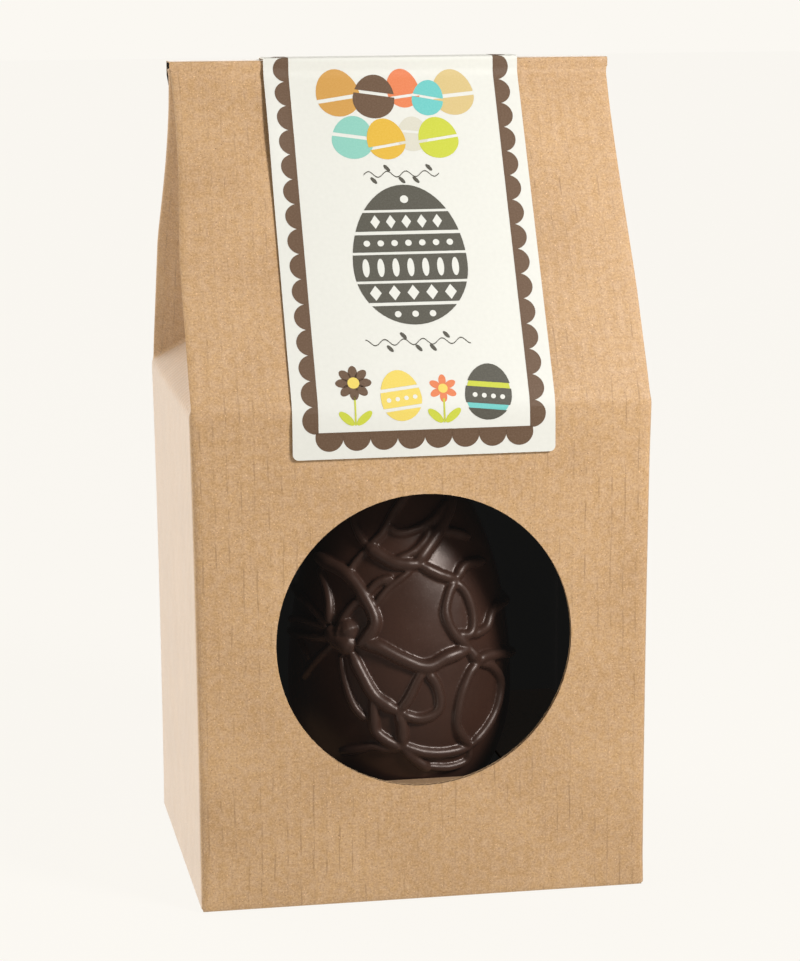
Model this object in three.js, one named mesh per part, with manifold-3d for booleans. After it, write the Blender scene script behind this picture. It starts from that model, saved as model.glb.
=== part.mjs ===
// A drizzled chocolate egg in its carton.
//
// The carton is one folded blank of corrugated kraft board: an upright box with a
// round window, whose upper half tapers to a flat ridge like a folded paper bag.
// The side walls fold inwards as gussets, and the front panel laps over the ridge
// as a closing flap at the back. A card label runs over the ridge. Inside, the egg
// stands in the square hole of a folded platform.
//
// Millimetres. +Z is up, the window faces -Y, the origin is under the middle.

import * as THREE from "three";
import { ConvexGeometry } from "three/addons/geometries/ConvexGeometry.js";
import { mergeVertices } from "three/addons/utils/BufferGeometryUtils.js";
import Module from "manifold-3d";

// ---- Driving dimensions -------------------------------------------------------

const BOARD = 1.6; // thickness of the corrugated board
const WIDTH = 130; // carton, left to right, at its foot and at its ridge
const SHOULDER_BULGE = 1; // how far the sides stand out at the shoulder crease
const DEPTH = 106.3; // carton, front to back
const SHOULDER_Z = 144; // height of the crease where the taper starts
const RIDGE_Z = 238; // height of the ridge
const RIDGE_HALF = 2 * BOARD; // a panel and a gusset layer on each side of the middle
const HEM = 4; // upright strip of the panels just under the ridge
const GUSSET_DROP = 2.5; // the gussets end this far under the ridge
const FOLD_SLIT = 0.3; // half the slit left between the pressed gusset layers
const FLAP_LENGTH = 32; // closing flap, down the back panel
const FLAP_SIDE_CUT = 6; // how far its end is narrower on each side
const FLAP_SINK = 0.3; // how far it is pressed into the board under it

const WINDOW_RADIUS = 42.5;
const WINDOW_Z = 76.5; // height of the window's centre
const WINDOW_SIDES = 96;

const LABEL_WIDTH = 75;
const LABEL_THICKNESS = 0.5;
const LABEL_GAP = 0.3; // between the label and the board
const LABEL_LIFT = 1; // the stiff label's free ends stand off the board
const LABEL_FOOT_Z = 130; // height of the label's lower ends, front and back
const LABEL_CORNER = 1.6; // radius of its corners

const PLATFORM_TOP = 32.3; // height of the platform's upper face
const PLATFORM_GAP = 0.4; // between the platform and the carton's walls
const PLATFORM_FOOT_GAP = 0.3; // between its legs and the carton's floor
const PLATFORM_HOLE = 57.5; // side of the square hole that holds the egg
const HOLE_CORNER = 3; // radius of the hole's corners

const EGG_RADIUS = 33.2; // at its widest
const EGG_Y = -12; // its axis stands nearer to the window than to the back
const EGG_WIDEST_Z = 55.3; // height of the widest section
const EGG_BELOW = 44; // from the widest section down to the blunt end
const EGG_ABOVE = 70; // from the widest section up to the narrow end
const EGG_ROWS = 22;
const EGG_COLUMNS = 40;

// The piped drizzle on the egg's front. Each stroke has its half thickness and the
// points that it runs through: turn round the egg in degrees, 0 at the front and
// positive to the right, and height in millimetres.
const DRIZZLE = [
  [2, [[-29, 73.3], [-21, 72.8], [-9, 69.4], [3, 66.8], [14, 69], [27, 70.4]]],
  [1.5, [[2, 66.2], [-2, 62.5], [-6, 57.8], [-11, 54]]],
  [1.5, [[3, 65.8], [8, 61.5], [10, 56], [7, 52.8], [-1, 51.7], [-11, 53.7]]],
  [1.85, [[-35, 70.6], [-29, 64.4], [-22, 58.2], [-11, 54]]],
  [1.3, [[-41, 69.3], [-38, 61.6], [-33, 54.8], [-27, 51.4]]],
  [1.65, [[-11, 53.7], [-9, 49.3], [-9, 43.7]]],
  [1.6, [[-23, 58.4], [-23, 52.1], [-22, 47.7], [-14, 44.2], [-9, 43.3]]],
  [1.25, [[-9, 43.3], [-17, 42.6], [-24, 43.2], [-32, 41.9], [-44, 39.9]]],
  [1.5, [[-9, 43.7], [1, 41.4], [14, 40.4], [30, 40.9]]],
  [1.65, [[-9, 43.3], [-2, 39], [6, 35.6]]],
  [1.25, [[4, 36.6], [18, 35.4], [29, 36.5], [30, 40.6]]],
  [1.5, [[29, 41.1], [20, 48.1], [21, 56.3], [27, 63.2], [33, 65.8]]],
  [1.5, [[29, 41], [39, 45.1], [48, 51.1], [51, 58.3], [43, 63.8], [33, 65.8]]],
  [1.85, [[27, 70.8], [33, 66.1]]],
  [1.65, [[33, 65.8], [43, 67], [93, 62]]],
  [1.5, [[28, 70.8], [19, 75.6], [15, 81.5], [18, 86.8], [23, 90.1]]],
  [1.5, [[23, 90.1], [29, 86.6], [32, 80.9], [31, 76.1], [27, 74.4], [21, 75.3]]],
  [1.5, [[29, 74.3], [41, 75.3], [54, 80], [99, 78.3]]],
  [1.6, [[24, 90.5], [13, 92.6], [2, 95.7]]],
  [1.5, [[24, 90.5], [33, 94], [51, 93.7]]],
  [1.85, [[0, 95.7], [8, 99.8], [19, 104.5], [31, 108.8], [45, 113.6]]],
  [1.85, [[2, 95.6], [-12, 96.1], [-22, 98.2], [-31, 100.6]]],
  [1.25, [[-31, 100.6], [-37, 102.9], [-41, 104.9], [-46, 108], [-50, 112.6]]],
  [1.25, [[-30, 100.5], [-22, 104], [-18, 107], [-14, 110.1], [-6, 113.4], [6, 116.6]]],
  [1.25, [[-18, 106.5], [-11, 104.3], [1, 105], [16, 107.5], [32, 111.6]]],
  [1.25, [[-15, 96.5], [-1, 99.2], [8, 102.6], [12, 105.6]]],
  [1, [[-31, 99.7], [-38, 95.8], [-41, 92]]],
  [1.95, [[-70, 95.6], [-55, 94.2], [-41, 92.2], [-30, 86.9], [-23, 79.5], [-31, 72.6]]],
  [1.25, [[-29, 86.7], [-23, 90.5], [-14, 92.3]]],
  [1, [[-24, 84], [-16, 89.4], [-3, 94.1]]],
  [1.3, [[-43, 74.4], [-41, 80], [-35, 84.3], [-29, 86.3]]],
  [1.5, [[-50, 77.9], [-51, 83.6], [-56, 88.6], [-64, 92.5]]],
  [1.3, [[-95, 83.5], [-69, 82.2], [-51, 77.8]]],
  [1.15, [[-97, 73.7], [-75, 77.1], [-51, 76.7]]],
  [1, [[-99, 70], [-84, 71.3], [-72, 69.9], [-63, 66.5]]],
  [1, [[-96, 71], [-63, 73], [-48, 74.1]]],
  [1, [[-47, 72.1], [-58, 66.1], [-68, 60.1]]],
  [3.3, [[-50, 76.2], [-41, 73.4], [-33, 71.9]]],
  [1.25, [[17, 104.1], [30, 103.4], [44, 101.1]]],
];
const DRIZZLE_SIDES = 5;
const DRIZZLE_STEP = 5; // length of one straight piece of a stroke
const BACK_DRIZZLE_FROM = 1.3; // half thickness of the thinnest stroke on the back

// ---- Solids -------------------------------------------------------------------

const wasm = await Module();
wasm.setup();

const at = (x, y, z) => new THREE.Vector3(x, y, z);

// A closed three.js geometry as a solid that can be joined and cut.
function solid(geometry) {
  const bare = geometry.index ? geometry.toNonIndexed() : geometry.clone();
  bare.deleteAttribute("normal");
  bare.deleteAttribute("uv");
  const merged = mergeVertices(bare, 1e-4);
  return new wasm.Manifold(
    new wasm.Mesh({
      numProp: 3,
      vertProperties: merged.attributes.position.array,
      triVerts: new Uint32Array(merged.index.array),
    }),
  );
}

// Several solids as one closed body. Hairline pockets and slivers are dropped.
function joined(solids) {
  const whole = solids.reduce((sum, next) => sum.add(next));
  const bodies = whole.decompose();
  return bodies.reduce((main, next) => (next.volume() > main.volume() ? next : main));
}

function mesh(name, body, material) {
  const { vertProperties, triVerts } = body.getMesh();
  const geometry = new THREE.BufferGeometry();
  geometry.setAttribute("position", new THREE.BufferAttribute(vertProperties, 3));
  geometry.setIndex(new THREE.BufferAttribute(triVerts, 1));
  geometry.computeVertexNormals();
  const made = new THREE.Mesh(geometry, material);
  made.name = name;
  return made;
}

function outward(corners) {
  const along = corners[1].clone().sub(corners[0]);
  const across = corners[2].clone().sub(corners[0]);
  return along.cross(across).normalize();
}

// A flat piece of board. Its corners lie on the outer face, anticlockwise seen from
// outside, and the board's thickness goes inwards from them.
function panel(...corners) {
  const inwards = outward(corners).multiplyScalar(-BOARD);
  const inner = corners.map((corner) => corner.clone().add(inwards));
  return solid(new ConvexGeometry([...corners, ...inner]));
}

// Board in the angle behind a valley crease, between the panels on its two sides.
function creaseFill(start, end, firstPanel, secondPanel) {
  const points = [start, end];
  for (const corners of [firstPanel, secondPanel]) {
    const inwards = outward(corners).multiplyScalar(-BOARD);
    points.push(start.clone().add(inwards), end.clone().add(inwards));
  }
  return solid(new ConvexGeometry(points));
}

function box(low, high) {
  const size = high.clone().sub(low);
  const middle = low.clone().add(high).multiplyScalar(0.5);
  const geometry = new THREE.BoxGeometry(size.x, size.y, size.z);
  return solid(geometry.translate(middle.x, middle.y, middle.z));
}

// A shape drawn in the YZ plane, drawn out along X about the middle.
const alongX = new THREE.Matrix4().makeBasis(at(0, 1, 0), at(0, 0, 1), at(1, 0, 0));

// The outline of a bent strip: the path and, on its outer side, the path again a
// thickness away, mitred at each bend.
function stripOutline(path, thickness) {
  const normals = path.slice(1).map((point, i) => {
    const step = point.clone().sub(path[i]).normalize();
    return new THREE.Vector2(-step.y, step.x);
  });
  const outer = path.map((point, i) => {
    const before = normals[Math.max(i - 1, 0)];
    const after = normals[Math.min(i, normals.length - 1)];
    const mitre = before.clone().add(after).normalize();
    return point.clone().add(mitre.multiplyScalar(thickness / mitre.dot(before)));
  });
  return new THREE.Shape([...path, ...outer.reverse()]);
}

// ---- Carton -------------------------------------------------------------------

// The point, to the inner side, that is given distances from two points in one plane.
function meeting(first, firstReach, second, secondReach) {
  const apart = second.clone().sub(first);
  const gap = apart.length();
  const along = (gap ** 2 + firstReach ** 2 - secondReach ** 2) / (2 * gap);
  const aside = Math.sqrt(firstReach ** 2 - along ** 2);
  const forward = apart.divideScalar(gap);
  const sideways = new THREE.Vector2(forward.y, -forward.x);
  return first
    .clone()
    .add(forward.multiplyScalar(along))
    .add(sideways.multiplyScalar(aside));
}

// The gusset folds on 45 degree creases from the shoulder's ends. The board doesn't
// stretch, so the lengths on the flat side wall give the folded places: `apex`, where
// the creases meet, and `tip`, the top of the middle crease. Each is [inwards, up],
// from the side edge and from the shoulder.
function foldedGusset() {
  const half = DEPTH / 2;
  const rise = RIDGE_Z - SHOULDER_Z;
  const slope = Math.hypot(half - RIDGE_HALF, rise);
  const above = slope - half;
  const up = (rise ** 2 + RIDGE_HALF ** 2 - above ** 2) / (2 * rise);
  const apex = new THREE.Vector2(Math.sqrt(half ** 2 - up ** 2), up);
  const edgeTop = new THREE.Vector2(0, rise);
  const flatReach = Math.sqrt(half ** 2 - RIDGE_HALF ** 2);
  const tip = meeting(apex, above, edgeTop, flatReach);
  return { apex, tip };
}

// One side of the carton: its wall, and the gusset that folds in above it.
// side is -1 on the left and 1 on the right.
function sidePieces(side) {
  const foot = (side * WIDTH) / 2;
  const shoulder = side * (WIDTH / 2 + SHOULDER_BULGE);
  const half = DEPTH / 2;
  const { apex, tip } = foldedGusset();
  const apexPoint = at(shoulder - side * apex.x, 0, SHOULDER_Z + apex.y);
  const tipPoint = at(foot - side * tip.x, 0, SHOULDER_Z + tip.y);
  const facing = (corners) => (side < 0 ? corners : [...corners].reverse());

  const wall = facing([
    at(foot, half, 0),
    at(foot, -half, 0),
    at(shoulder, -half, SHOULDER_Z),
    at(shoulder, half, SHOULDER_Z),
  ]);
  const sill = facing([
    at(shoulder, half, SHOULDER_Z),
    at(shoulder, -half, SHOULDER_Z),
    apexPoint,
  ]);
  const pieces = [panel(...wall), panel(...sill)];

  const leaves = [];
  for (const end of [-1, 1]) {
    const corner = at(shoulder, end * half, SHOULDER_Z);
    const top = at(foot, end * FOLD_SLIT, RIDGE_Z - GUSSET_DROP);
    const turned = (corners) => (end < 0 ? facing(corners) : facing([...corners].reverse()));
    const lowerLeaf = turned([corner, top, apexPoint]);
    const upperLeaf = turned([apexPoint, top, tipPoint]);
    pieces.push(panel(...lowerLeaf), panel(...upperLeaf));
    pieces.push(creaseFill(corner, apexPoint, sill, lowerLeaf));
    pieces.push(creaseFill(apexPoint, top, lowerLeaf, upperLeaf));
    leaves.push(upperLeaf);
  }
  pieces.push(creaseFill(apexPoint, tipPoint, ...leaves));
  return pieces;
}

// The front (end -1) or back (end 1): lower panel, leaning panel and upright hem.
function facePieces(end) {
  const foot = WIDTH / 2;
  const shoulder = WIDTH / 2 + SHOULDER_BULGE;
  const half = (end * DEPTH) / 2;
  const ridge = end * RIDGE_HALF;
  const strip = (lowX, lowY, lowZ, highX, highY, highZ) => {
    const corners = [
      at(-lowX, lowY, lowZ),
      at(lowX, lowY, lowZ),
      at(highX, highY, highZ),
      at(-highX, highY, highZ),
    ];
    return end < 0 ? corners : corners.reverse();
  };
  const hemZ = RIDGE_Z - HEM;
  const lower = strip(foot, half, 0, shoulder, half, SHOULDER_Z);
  const leaning = strip(shoulder, half, SHOULDER_Z, foot, ridge, hemZ);
  const hem = strip(foot, ridge, hemZ, foot, ridge, RIDGE_Z);
  const hemCrease = creaseFill(at(-foot, ridge, hemZ), at(foot, ridge, hemZ), leaning, hem);
  return [panel(...lower), panel(...leaning), panel(...hem), hemCrease];
}

// Unit vector square to the leaning back panel, pointing out.
function backNormal() {
  const run = DEPTH / 2 - RIDGE_HALF;
  const rise = RIDGE_Z - HEM - SHOULDER_Z;
  return at(0, rise, run).normalize();
}

// The front panel's end, folded over the ridge and down the back panel.
function flap() {
  const innerY = RIDGE_HALF - FLAP_SINK;
  const hemZ = RIDGE_Z - HEM;
  const normal = backNormal();
  const bend = new THREE.Vector2(innerY, hemZ - FLAP_SINK * normal.y);
  const down = new THREE.Vector2(normal.z, -normal.y).multiplyScalar(FLAP_LENGTH);
  const path = [
    new THREE.Vector2(-RIDGE_HALF, RIDGE_Z - BOARD),
    new THREE.Vector2(innerY, RIDGE_Z - BOARD),
    bend,
    bend.clone().add(down),
  ];
  const strip = new THREE.ExtrudeGeometry(stripOutline(path, BOARD), {
    depth: WIDTH,
    bevelEnabled: false,
  });
  strip.translate(0, 0, -WIDTH / 2).applyMatrix4(alongX);

  // The flap seen from the back, with its sides cut in towards its end.
  const x = WIDTH / 2;
  const endX = x - FLAP_SIDE_CUT;
  const endZ = hemZ - FLAP_LENGTH;
  const trim = new ConvexGeometry(
    [-RIDGE_HALF - BOARD, DEPTH].flatMap((y) => [
      at(-x, y, RIDGE_Z + BOARD),
      at(x, y, RIDGE_Z + BOARD),
      at(x, y, hemZ),
      at(-x, y, hemZ),
      at(endX, y, endZ),
      at(-endX, y, endZ),
    ]),
  );
  return solid(strip).intersect(solid(trim));
}

// The space that the shut carton fills, without its flap: a box under a wedge.
function envelope() {
  const foot = WIDTH / 2;
  const half = DEPTH / 2;
  const sections = [
    [foot, half, 0],
    [foot + SHOULDER_BULGE, half, SHOULDER_Z],
    [foot, RIDGE_HALF, RIDGE_Z - HEM],
    [foot, RIDGE_HALF, RIDGE_Z],
  ];
  const corners = sections.flatMap(([x, y, z]) => [
    at(-x, -y, z),
    at(x, -y, z),
    at(x, y, z),
    at(-x, y, z),
  ]);
  return solid(new ConvexGeometry(corners));
}

function carton() {
  const floor = box(at(-WIDTH / 2, -DEPTH / 2, 0), at(WIDTH / 2, DEPTH / 2, BOARD));
  const cut = 4 * BOARD;
  const pane = new THREE.CylinderGeometry(WINDOW_RADIUS, WINDOW_RADIUS, cut, WINDOW_SIDES);
  pane.translate(0, -DEPTH / 2, WINDOW_Z);
  const walls = [-1, 1].flatMap((end) => [...facePieces(end), ...sidePieces(end)]);
  const body = joined([floor, ...walls]).intersect(envelope());
  return joined([body, flap()]).subtract(solid(pane));
}

// ---- Label --------------------------------------------------------------------

// A strip of card over the ridge, the same length at the front and at the back.
function label() {
  const off = LABEL_GAP;
  const lifted = DEPTH / 2 + off + LABEL_LIFT;
  const normal = backNormal();
  const hemZ = RIDGE_Z - HEM;
  const out = (y, z, distance) =>
    new THREE.Vector2(y + distance * normal.y, z + distance * normal.z);
  const shoulder = out(DEPTH / 2, SHOULDER_Z, off);
  const frontBend = out(RIDGE_HALF, hemZ, off);
  const backBend = out(RIDGE_HALF, hemZ, off + BOARD);
  const flapZ = hemZ - FLAP_LENGTH * normal.y;
  const flapEnd = out(RIDGE_HALF + FLAP_LENGTH * normal.z, flapZ, off + BOARD);
  const path = [
    new THREE.Vector2(-lifted, LABEL_FOOT_Z),
    new THREE.Vector2(-shoulder.x, shoulder.y),
    new THREE.Vector2(-frontBend.x, frontBend.y),
    new THREE.Vector2(-RIDGE_HALF - off, RIDGE_Z + off),
    new THREE.Vector2(RIDGE_HALF + BOARD + off, RIDGE_Z + off),
    backBend,
    flapEnd,
    shoulder,
    new THREE.Vector2(lifted, LABEL_FOOT_Z),
  ];
  const strip = new THREE.ExtrudeGeometry(stripOutline(path, LABEL_THICKNESS), {
    depth: LABEL_WIDTH,
    bevelEnabled: false,
  });
  strip.translate(0, 0, -LABEL_WIDTH / 2).applyMatrix4(alongX);

  // The same strip seen from the front, with its lower corners rounded.
  const x = LABEL_WIDTH / 2;
  const r = LABEL_CORNER;
  const z = LABEL_FOOT_Z;
  const face = new THREE.Shape();
  face.moveTo(-x, RIDGE_Z + HEM);
  face.lineTo(-x, z + r);
  face.absarc(-x + r, z + r, r, Math.PI, 1.5 * Math.PI);
  face.absarc(x - r, z + r, r, 1.5 * Math.PI, 2 * Math.PI);
  face.lineTo(x, RIDGE_Z + HEM);
  const trim = new THREE.ExtrudeGeometry(face, {
    depth: 2 * DEPTH,
    bevelEnabled: false,
    curveSegments: 4,
  });
  trim.rotateX(Math.PI / 2).translate(0, DEPTH, 0);
  return solid(strip).intersect(solid(trim));
}

// ---- Platform -----------------------------------------------------------------

// A folded sheet: a flat top with a rounded square hole, and a leg down each side.
function platform() {
  const x = WIDTH / 2 - BOARD - PLATFORM_GAP;
  const y = DEPTH / 2 - BOARD - PLATFORM_GAP;
  const top = new THREE.Shape([
    new THREE.Vector2(-x, -y),
    new THREE.Vector2(x, -y),
    new THREE.Vector2(x, y),
    new THREE.Vector2(-x, y),
  ]);
  const reach = PLATFORM_HOLE / 2 - HOLE_CORNER;
  const hole = new THREE.Path();
  for (let quarter = 0; quarter < 4; quarter += 1) {
    const start = (quarter * Math.PI) / 2;
    const middle = start + Math.PI / 4;
    const centreX = reach * Math.sign(Math.cos(middle));
    const centreY = EGG_Y + reach * Math.sign(Math.sin(middle));
    hole.absarc(centreX, centreY, HOLE_CORNER, start, start + Math.PI / 2);
  }
  top.holes.push(hole);
  const sheet = new THREE.ExtrudeGeometry(top, {
    depth: BOARD,
    bevelEnabled: false,
    curveSegments: 4,
  });
  sheet.translate(0, 0, PLATFORM_TOP - BOARD);
  const footZ = BOARD + PLATFORM_FOOT_GAP;
  return joined([
    solid(sheet),
    box(at(-x, -y, footZ), at(-x + BOARD, y, PLATFORM_TOP)),
    box(at(x - BOARD, -y, footZ), at(x, y, PLATFORM_TOP)),
  ]);
}

// ---- Egg ----------------------------------------------------------------------

function eggRadiusAt(z) {
  const reach = z < EGG_WIDEST_Z ? EGG_BELOW : EGG_ABOVE;
  return EGG_RADIUS * Math.sqrt(Math.max(0, 1 - ((z - EGG_WIDEST_Z) / reach) ** 2));
}

function eggBody() {
  const profile = [];
  for (let row = 0; row <= EGG_ROWS; row += 1) {
    const angle = (Math.PI * row) / EGG_ROWS;
    const reach = angle < Math.PI / 2 ? EGG_BELOW : EGG_ABOVE;
    const radius = row % EGG_ROWS === 0 ? 0 : EGG_RADIUS * Math.sin(angle);
    profile.push(new THREE.Vector2(radius, EGG_WIDEST_Z - reach * Math.cos(angle)));
  }
  return solid(new THREE.LatheGeometry(profile, EGG_COLUMNS).rotateX(Math.PI / 2));
}

// A piped line on the egg: a smooth curve through turns and heights.
class Stroke extends THREE.Curve {
  constructor(points) {
    super();
    this.flat = new THREE.SplineCurve(points.map(([turn, z]) => new THREE.Vector2(turn, z)));
  }
  getPoint(t, target = new THREE.Vector3()) {
    const { x: turn, y: z } = this.flat.getPoint(t);
    const angle = THREE.MathUtils.degToRad(turn);
    const radius = eggRadiusAt(z);
    return target.set(radius * Math.sin(angle), -radius * Math.cos(angle), z);
  }
}

function drizzleLine([halfThickness, points]) {
  const curve = new Stroke(points);
  const section = new THREE.Shape();
  for (let side = 0; side < DRIZZLE_SIDES; side += 1) {
    const angle = (2 * Math.PI * side) / DRIZZLE_SIDES;
    const corner = [halfThickness * Math.cos(angle), halfThickness * Math.sin(angle)];
    if (side === 0) section.moveTo(...corner);
    else section.lineTo(...corner);
  }
  const steps = Math.max(2, Math.ceil(curve.getLength() / DRIZZLE_STEP));
  return solid(
    new THREE.ExtrudeGeometry(section, { steps, extrudePath: curve, bevelEnabled: false }),
  );
}

// The drizzle covers the front, and its thicker strokes the back, as a mirror image.
function egg() {
  const thick = DRIZZLE.filter(([halfThickness]) => halfThickness >= BACK_DRIZZLE_FROM);
  const back = thick.map(([halfThickness, points]) => [
    halfThickness,
    points.map(([turn, z]) => [180 - turn, z]),
  ]);
  return joined([eggBody(), ...[...DRIZZLE, ...back].map(drizzleLine)]).translate(0, EGG_Y, 0);
}

// ---- Scene --------------------------------------------------------------------

const finish = (color, roughness) =>
  new THREE.MeshStandardMaterial({ color, roughness, metalness: 0 });

const kraft = () => finish("#c8a078", 0.85);

const pack = new THREE.Group();
pack.add(
  mesh("carton", carton(), kraft()),
  mesh("label", label(), finish("#f4f3ee", 0.6)),
  mesh("platform", platform(), kraft()),
  mesh("egg", egg(), finish("#37281f", 0.4)),
);

export default pack;
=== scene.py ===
# %% [markdown]
# # A drizzled chocolate egg in its folded carton
#
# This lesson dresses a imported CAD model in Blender. The real pack is one sheet of
# corrugated kraft board, scored and folded round a dark chocolate egg, with a printed
# card label bent over its ridge. Each step says what the piece is, how it could be
# made, and why it is made as it is here.
#
# The first cell loads the CAD model as a fixed frame, keeps its box, and sets the unit:
# all sizes below are millimetres, and MM turns them into Blender's metres.

import math

import bmesh
import bpy
import numpy as np
from mathutils import Matrix, Vector, noise


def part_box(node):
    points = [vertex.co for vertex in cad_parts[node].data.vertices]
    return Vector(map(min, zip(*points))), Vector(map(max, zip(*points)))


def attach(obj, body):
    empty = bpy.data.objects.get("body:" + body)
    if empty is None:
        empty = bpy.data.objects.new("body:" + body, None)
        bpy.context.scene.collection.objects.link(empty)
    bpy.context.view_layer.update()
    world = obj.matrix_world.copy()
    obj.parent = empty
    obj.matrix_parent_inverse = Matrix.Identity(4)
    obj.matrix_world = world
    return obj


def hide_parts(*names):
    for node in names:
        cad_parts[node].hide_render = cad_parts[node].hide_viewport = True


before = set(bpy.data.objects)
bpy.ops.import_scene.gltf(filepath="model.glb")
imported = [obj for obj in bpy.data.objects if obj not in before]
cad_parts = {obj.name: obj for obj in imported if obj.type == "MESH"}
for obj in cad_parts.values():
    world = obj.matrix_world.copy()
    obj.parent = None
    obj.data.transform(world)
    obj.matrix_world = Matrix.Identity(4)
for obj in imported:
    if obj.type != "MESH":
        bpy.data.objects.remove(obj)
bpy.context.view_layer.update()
MM = 0.001
print("CAD nodes:", ", ".join(sorted(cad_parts)))

# %% [markdown]
# ## Camera
#
# A product picture of a tall pack is taken with a long lens from a little above, turned
# a few degrees so that one side shows. The camera is set first, from a place, three
# turns and a focal length, so that every later piece can be judged through it.

# %% Set the camera
CAMERA_AT = Vector((-149.611, -826.185, 271.619)) * MM
CAMERA_YAW, CAMERA_PITCH, CAMERA_ROLL = 10.4486, 10.6986, -0.2811  # degrees
CAMERA_LENS = 106.98  # for a 36 mm sensor along the picture's longer side


def camera_axes(yaw, pitch, roll):
    """Right, up and forward of a camera that looks along +Y before it is turned."""
    yaw, pitch, roll = (math.radians(angle) for angle in (yaw, pitch, roll))
    forward = Vector((
        math.sin(yaw) * math.cos(pitch),
        math.cos(yaw) * math.cos(pitch),
        -math.sin(pitch),
    ))
    level = Vector((math.cos(yaw), -math.sin(yaw), 0))
    upright = level.cross(forward)
    right = math.cos(roll) * level + math.sin(roll) * upright
    up = math.cos(roll) * upright - math.sin(roll) * level
    return right, up, forward


right, up, forward = camera_axes(CAMERA_YAW, CAMERA_PITCH, CAMERA_ROLL)
bpy.ops.object.camera_add()
camera = bpy.context.object
camera.name = "camera"
turned = Matrix((right, up, -forward)).transposed().to_4x4()
camera.matrix_world = Matrix.Translation(CAMERA_AT) @ turned
camera.data.lens = CAMERA_LENS
camera.data.sensor_width = 36
camera.data.clip_start = 0.05
camera.data.clip_end = 20
bpy.context.scene.camera = camera
print("camera at", [round(value, 3) for value in camera.location])

# %% [markdown]
# ## Tools for modelling by hand
#
# Operators act on what is selected, so each step first selects by place. These helpers
# start a piece from a plane or a disc, put it in edit mode, select by a test on the place
# of each vertex, edge or face, cut it along straight lines, and apply a modifier to it.

# %% Selection and cutting helpers


def only(*pieces):
    """Selects these pieces and nothing else, and makes the first one active."""
    bpy.ops.object.select_all(action="DESELECT")
    for piece in pieces:
        piece.select_set(True)
    bpy.context.view_layer.objects.active = pieces[0]


def edit(piece):
    only(piece)
    bpy.ops.object.mode_set(mode="EDIT")
    bpy.ops.mesh.select_mode(type="VERT")


def done(piece):
    bpy.ops.object.mode_set(mode="OBJECT")
    return piece


def plane(name, wide, tall, across=0.0, up=0.0, z=0.0):
    """A new flat piece, its size and middle in mm, left in edit mode."""
    bpy.ops.object.select_all(action="DESELECT")
    bpy.ops.mesh.primitive_plane_add(size=1)
    piece = bpy.context.object
    piece.name = name
    edit(piece)
    bpy.ops.transform.resize(value=(wide * MM, tall * MM, 1))
    bpy.ops.transform.translate(value=(across * MM, up * MM, z * MM))
    return piece


def disc(radius, sides):
    """A new flat disc round the origin, left in edit mode with all of it selected."""
    bpy.ops.object.select_all(action="DESELECT")
    bpy.ops.mesh.primitive_circle_add(vertices=sides, radius=radius * MM, fill_type="NGON")
    edit(bpy.context.object)
    bpy.ops.mesh.select_all(action="SELECT")
    return bpy.context.object


def middle(element):
    if isinstance(element, bmesh.types.BMVert):
        return element.co / MM
    return sum((vertex.co for vertex in element.verts), Vector()) / len(element.verts) / MM


def choose(piece, kind, test):
    """Selects the verts, edges or faces in edit mode whose middle, in mm, passes the test."""
    bpy.ops.mesh.select_all(action="DESELECT")
    shape = bmesh.from_edit_mesh(piece.data)
    for element in getattr(shape, kind):
        if test(middle(element)):
            element.select_set(True)
    shape.select_flush_mode()
    bmesh.update_edit_mesh(piece.data)


def choose_all_of(piece, kind, test):
    """As choose, but every corner of the edge or face has to pass."""
    bpy.ops.mesh.select_all(action="DESELECT")
    shape = bmesh.from_edit_mesh(piece.data)
    for element in getattr(shape, kind):
        if all(test(vertex.co / MM) for vertex in element.verts):
            element.select_set(True)
    bmesh.update_edit_mesh(piece.data)


def move_chosen(piece, place):
    """Moves the chosen vertices in edit mode to where place, in mm, sends them."""
    shape = bmesh.from_edit_mesh(piece.data)
    for vertex in shape.verts:
        if vertex.select:
            vertex.co = place(vertex.co / MM) * MM
    bmesh.update_edit_mesh(piece.data)


def cut_rows(piece, across=(), along=()):
    """Cuts the whole piece along lines of constant x, then along lines of constant y."""
    for x in across:
        cut(piece, (x, 0, 0), (1, 0, 0))
    for y in along:
        cut(piece, (0, y, 0), (0, 1, 0))


def cut(piece, where, normal, faces=None):
    """Cuts the whole piece in edit mode, or its chosen faces, along a straight plane."""
    if faces:
        choose(piece, "faces", faces)
    else:
        bpy.ops.mesh.select_all(action="SELECT")
    bpy.ops.mesh.bisect(plane_co=Vector(where) * MM, plane_no=normal)


def turn_about(middle_place, degrees):
    """Turns what is chosen clockwise in the plane of the sheet, about a place in mm."""
    centre = Vector(middle_place) * MM
    bpy.ops.transform.rotate(
        value=-math.radians(degrees), orient_axis="Z", center_override=centre
    )


def face_outwards(piece):
    edit(piece)
    bpy.ops.mesh.select_all(action="SELECT")
    bpy.ops.mesh.normals_make_consistent(inside=False)
    done(piece)


def apply_modifier(piece, kind, **settings):
    only(piece)
    modifier = piece.modifiers.new(kind.title(), kind)
    for name, value in settings.items():
        setattr(modifier, name, value)
    bpy.ops.object.modifier_apply(modifier=modifier.name)


def places(piece):
    """All vertex places of a piece in millimetres, one row each."""
    found = np.empty(len(piece.data.vertices) * 3, np.float32)
    piece.data.vertices.foreach_get("co", found)
    return found.reshape(-1, 3).astype(float) / MM


def put(piece, rows):
    piece.data.vertices.foreach_set("co", (rows * MM).astype(np.float32).ravel())
    piece.data.update()


def smooth(piece, degrees=35):
    only(piece)
    bpy.ops.object.shade_smooth_by_angle(angle=math.radians(degrees))


def tell(piece):
    bounds = places(piece)
    size = np.ptp(bounds, axis=0).round(1)
    print(f"{piece.name}: {len(piece.data.polygons)} faces, {size[0]} x {size[1]} x {size[2]} mm")


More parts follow.
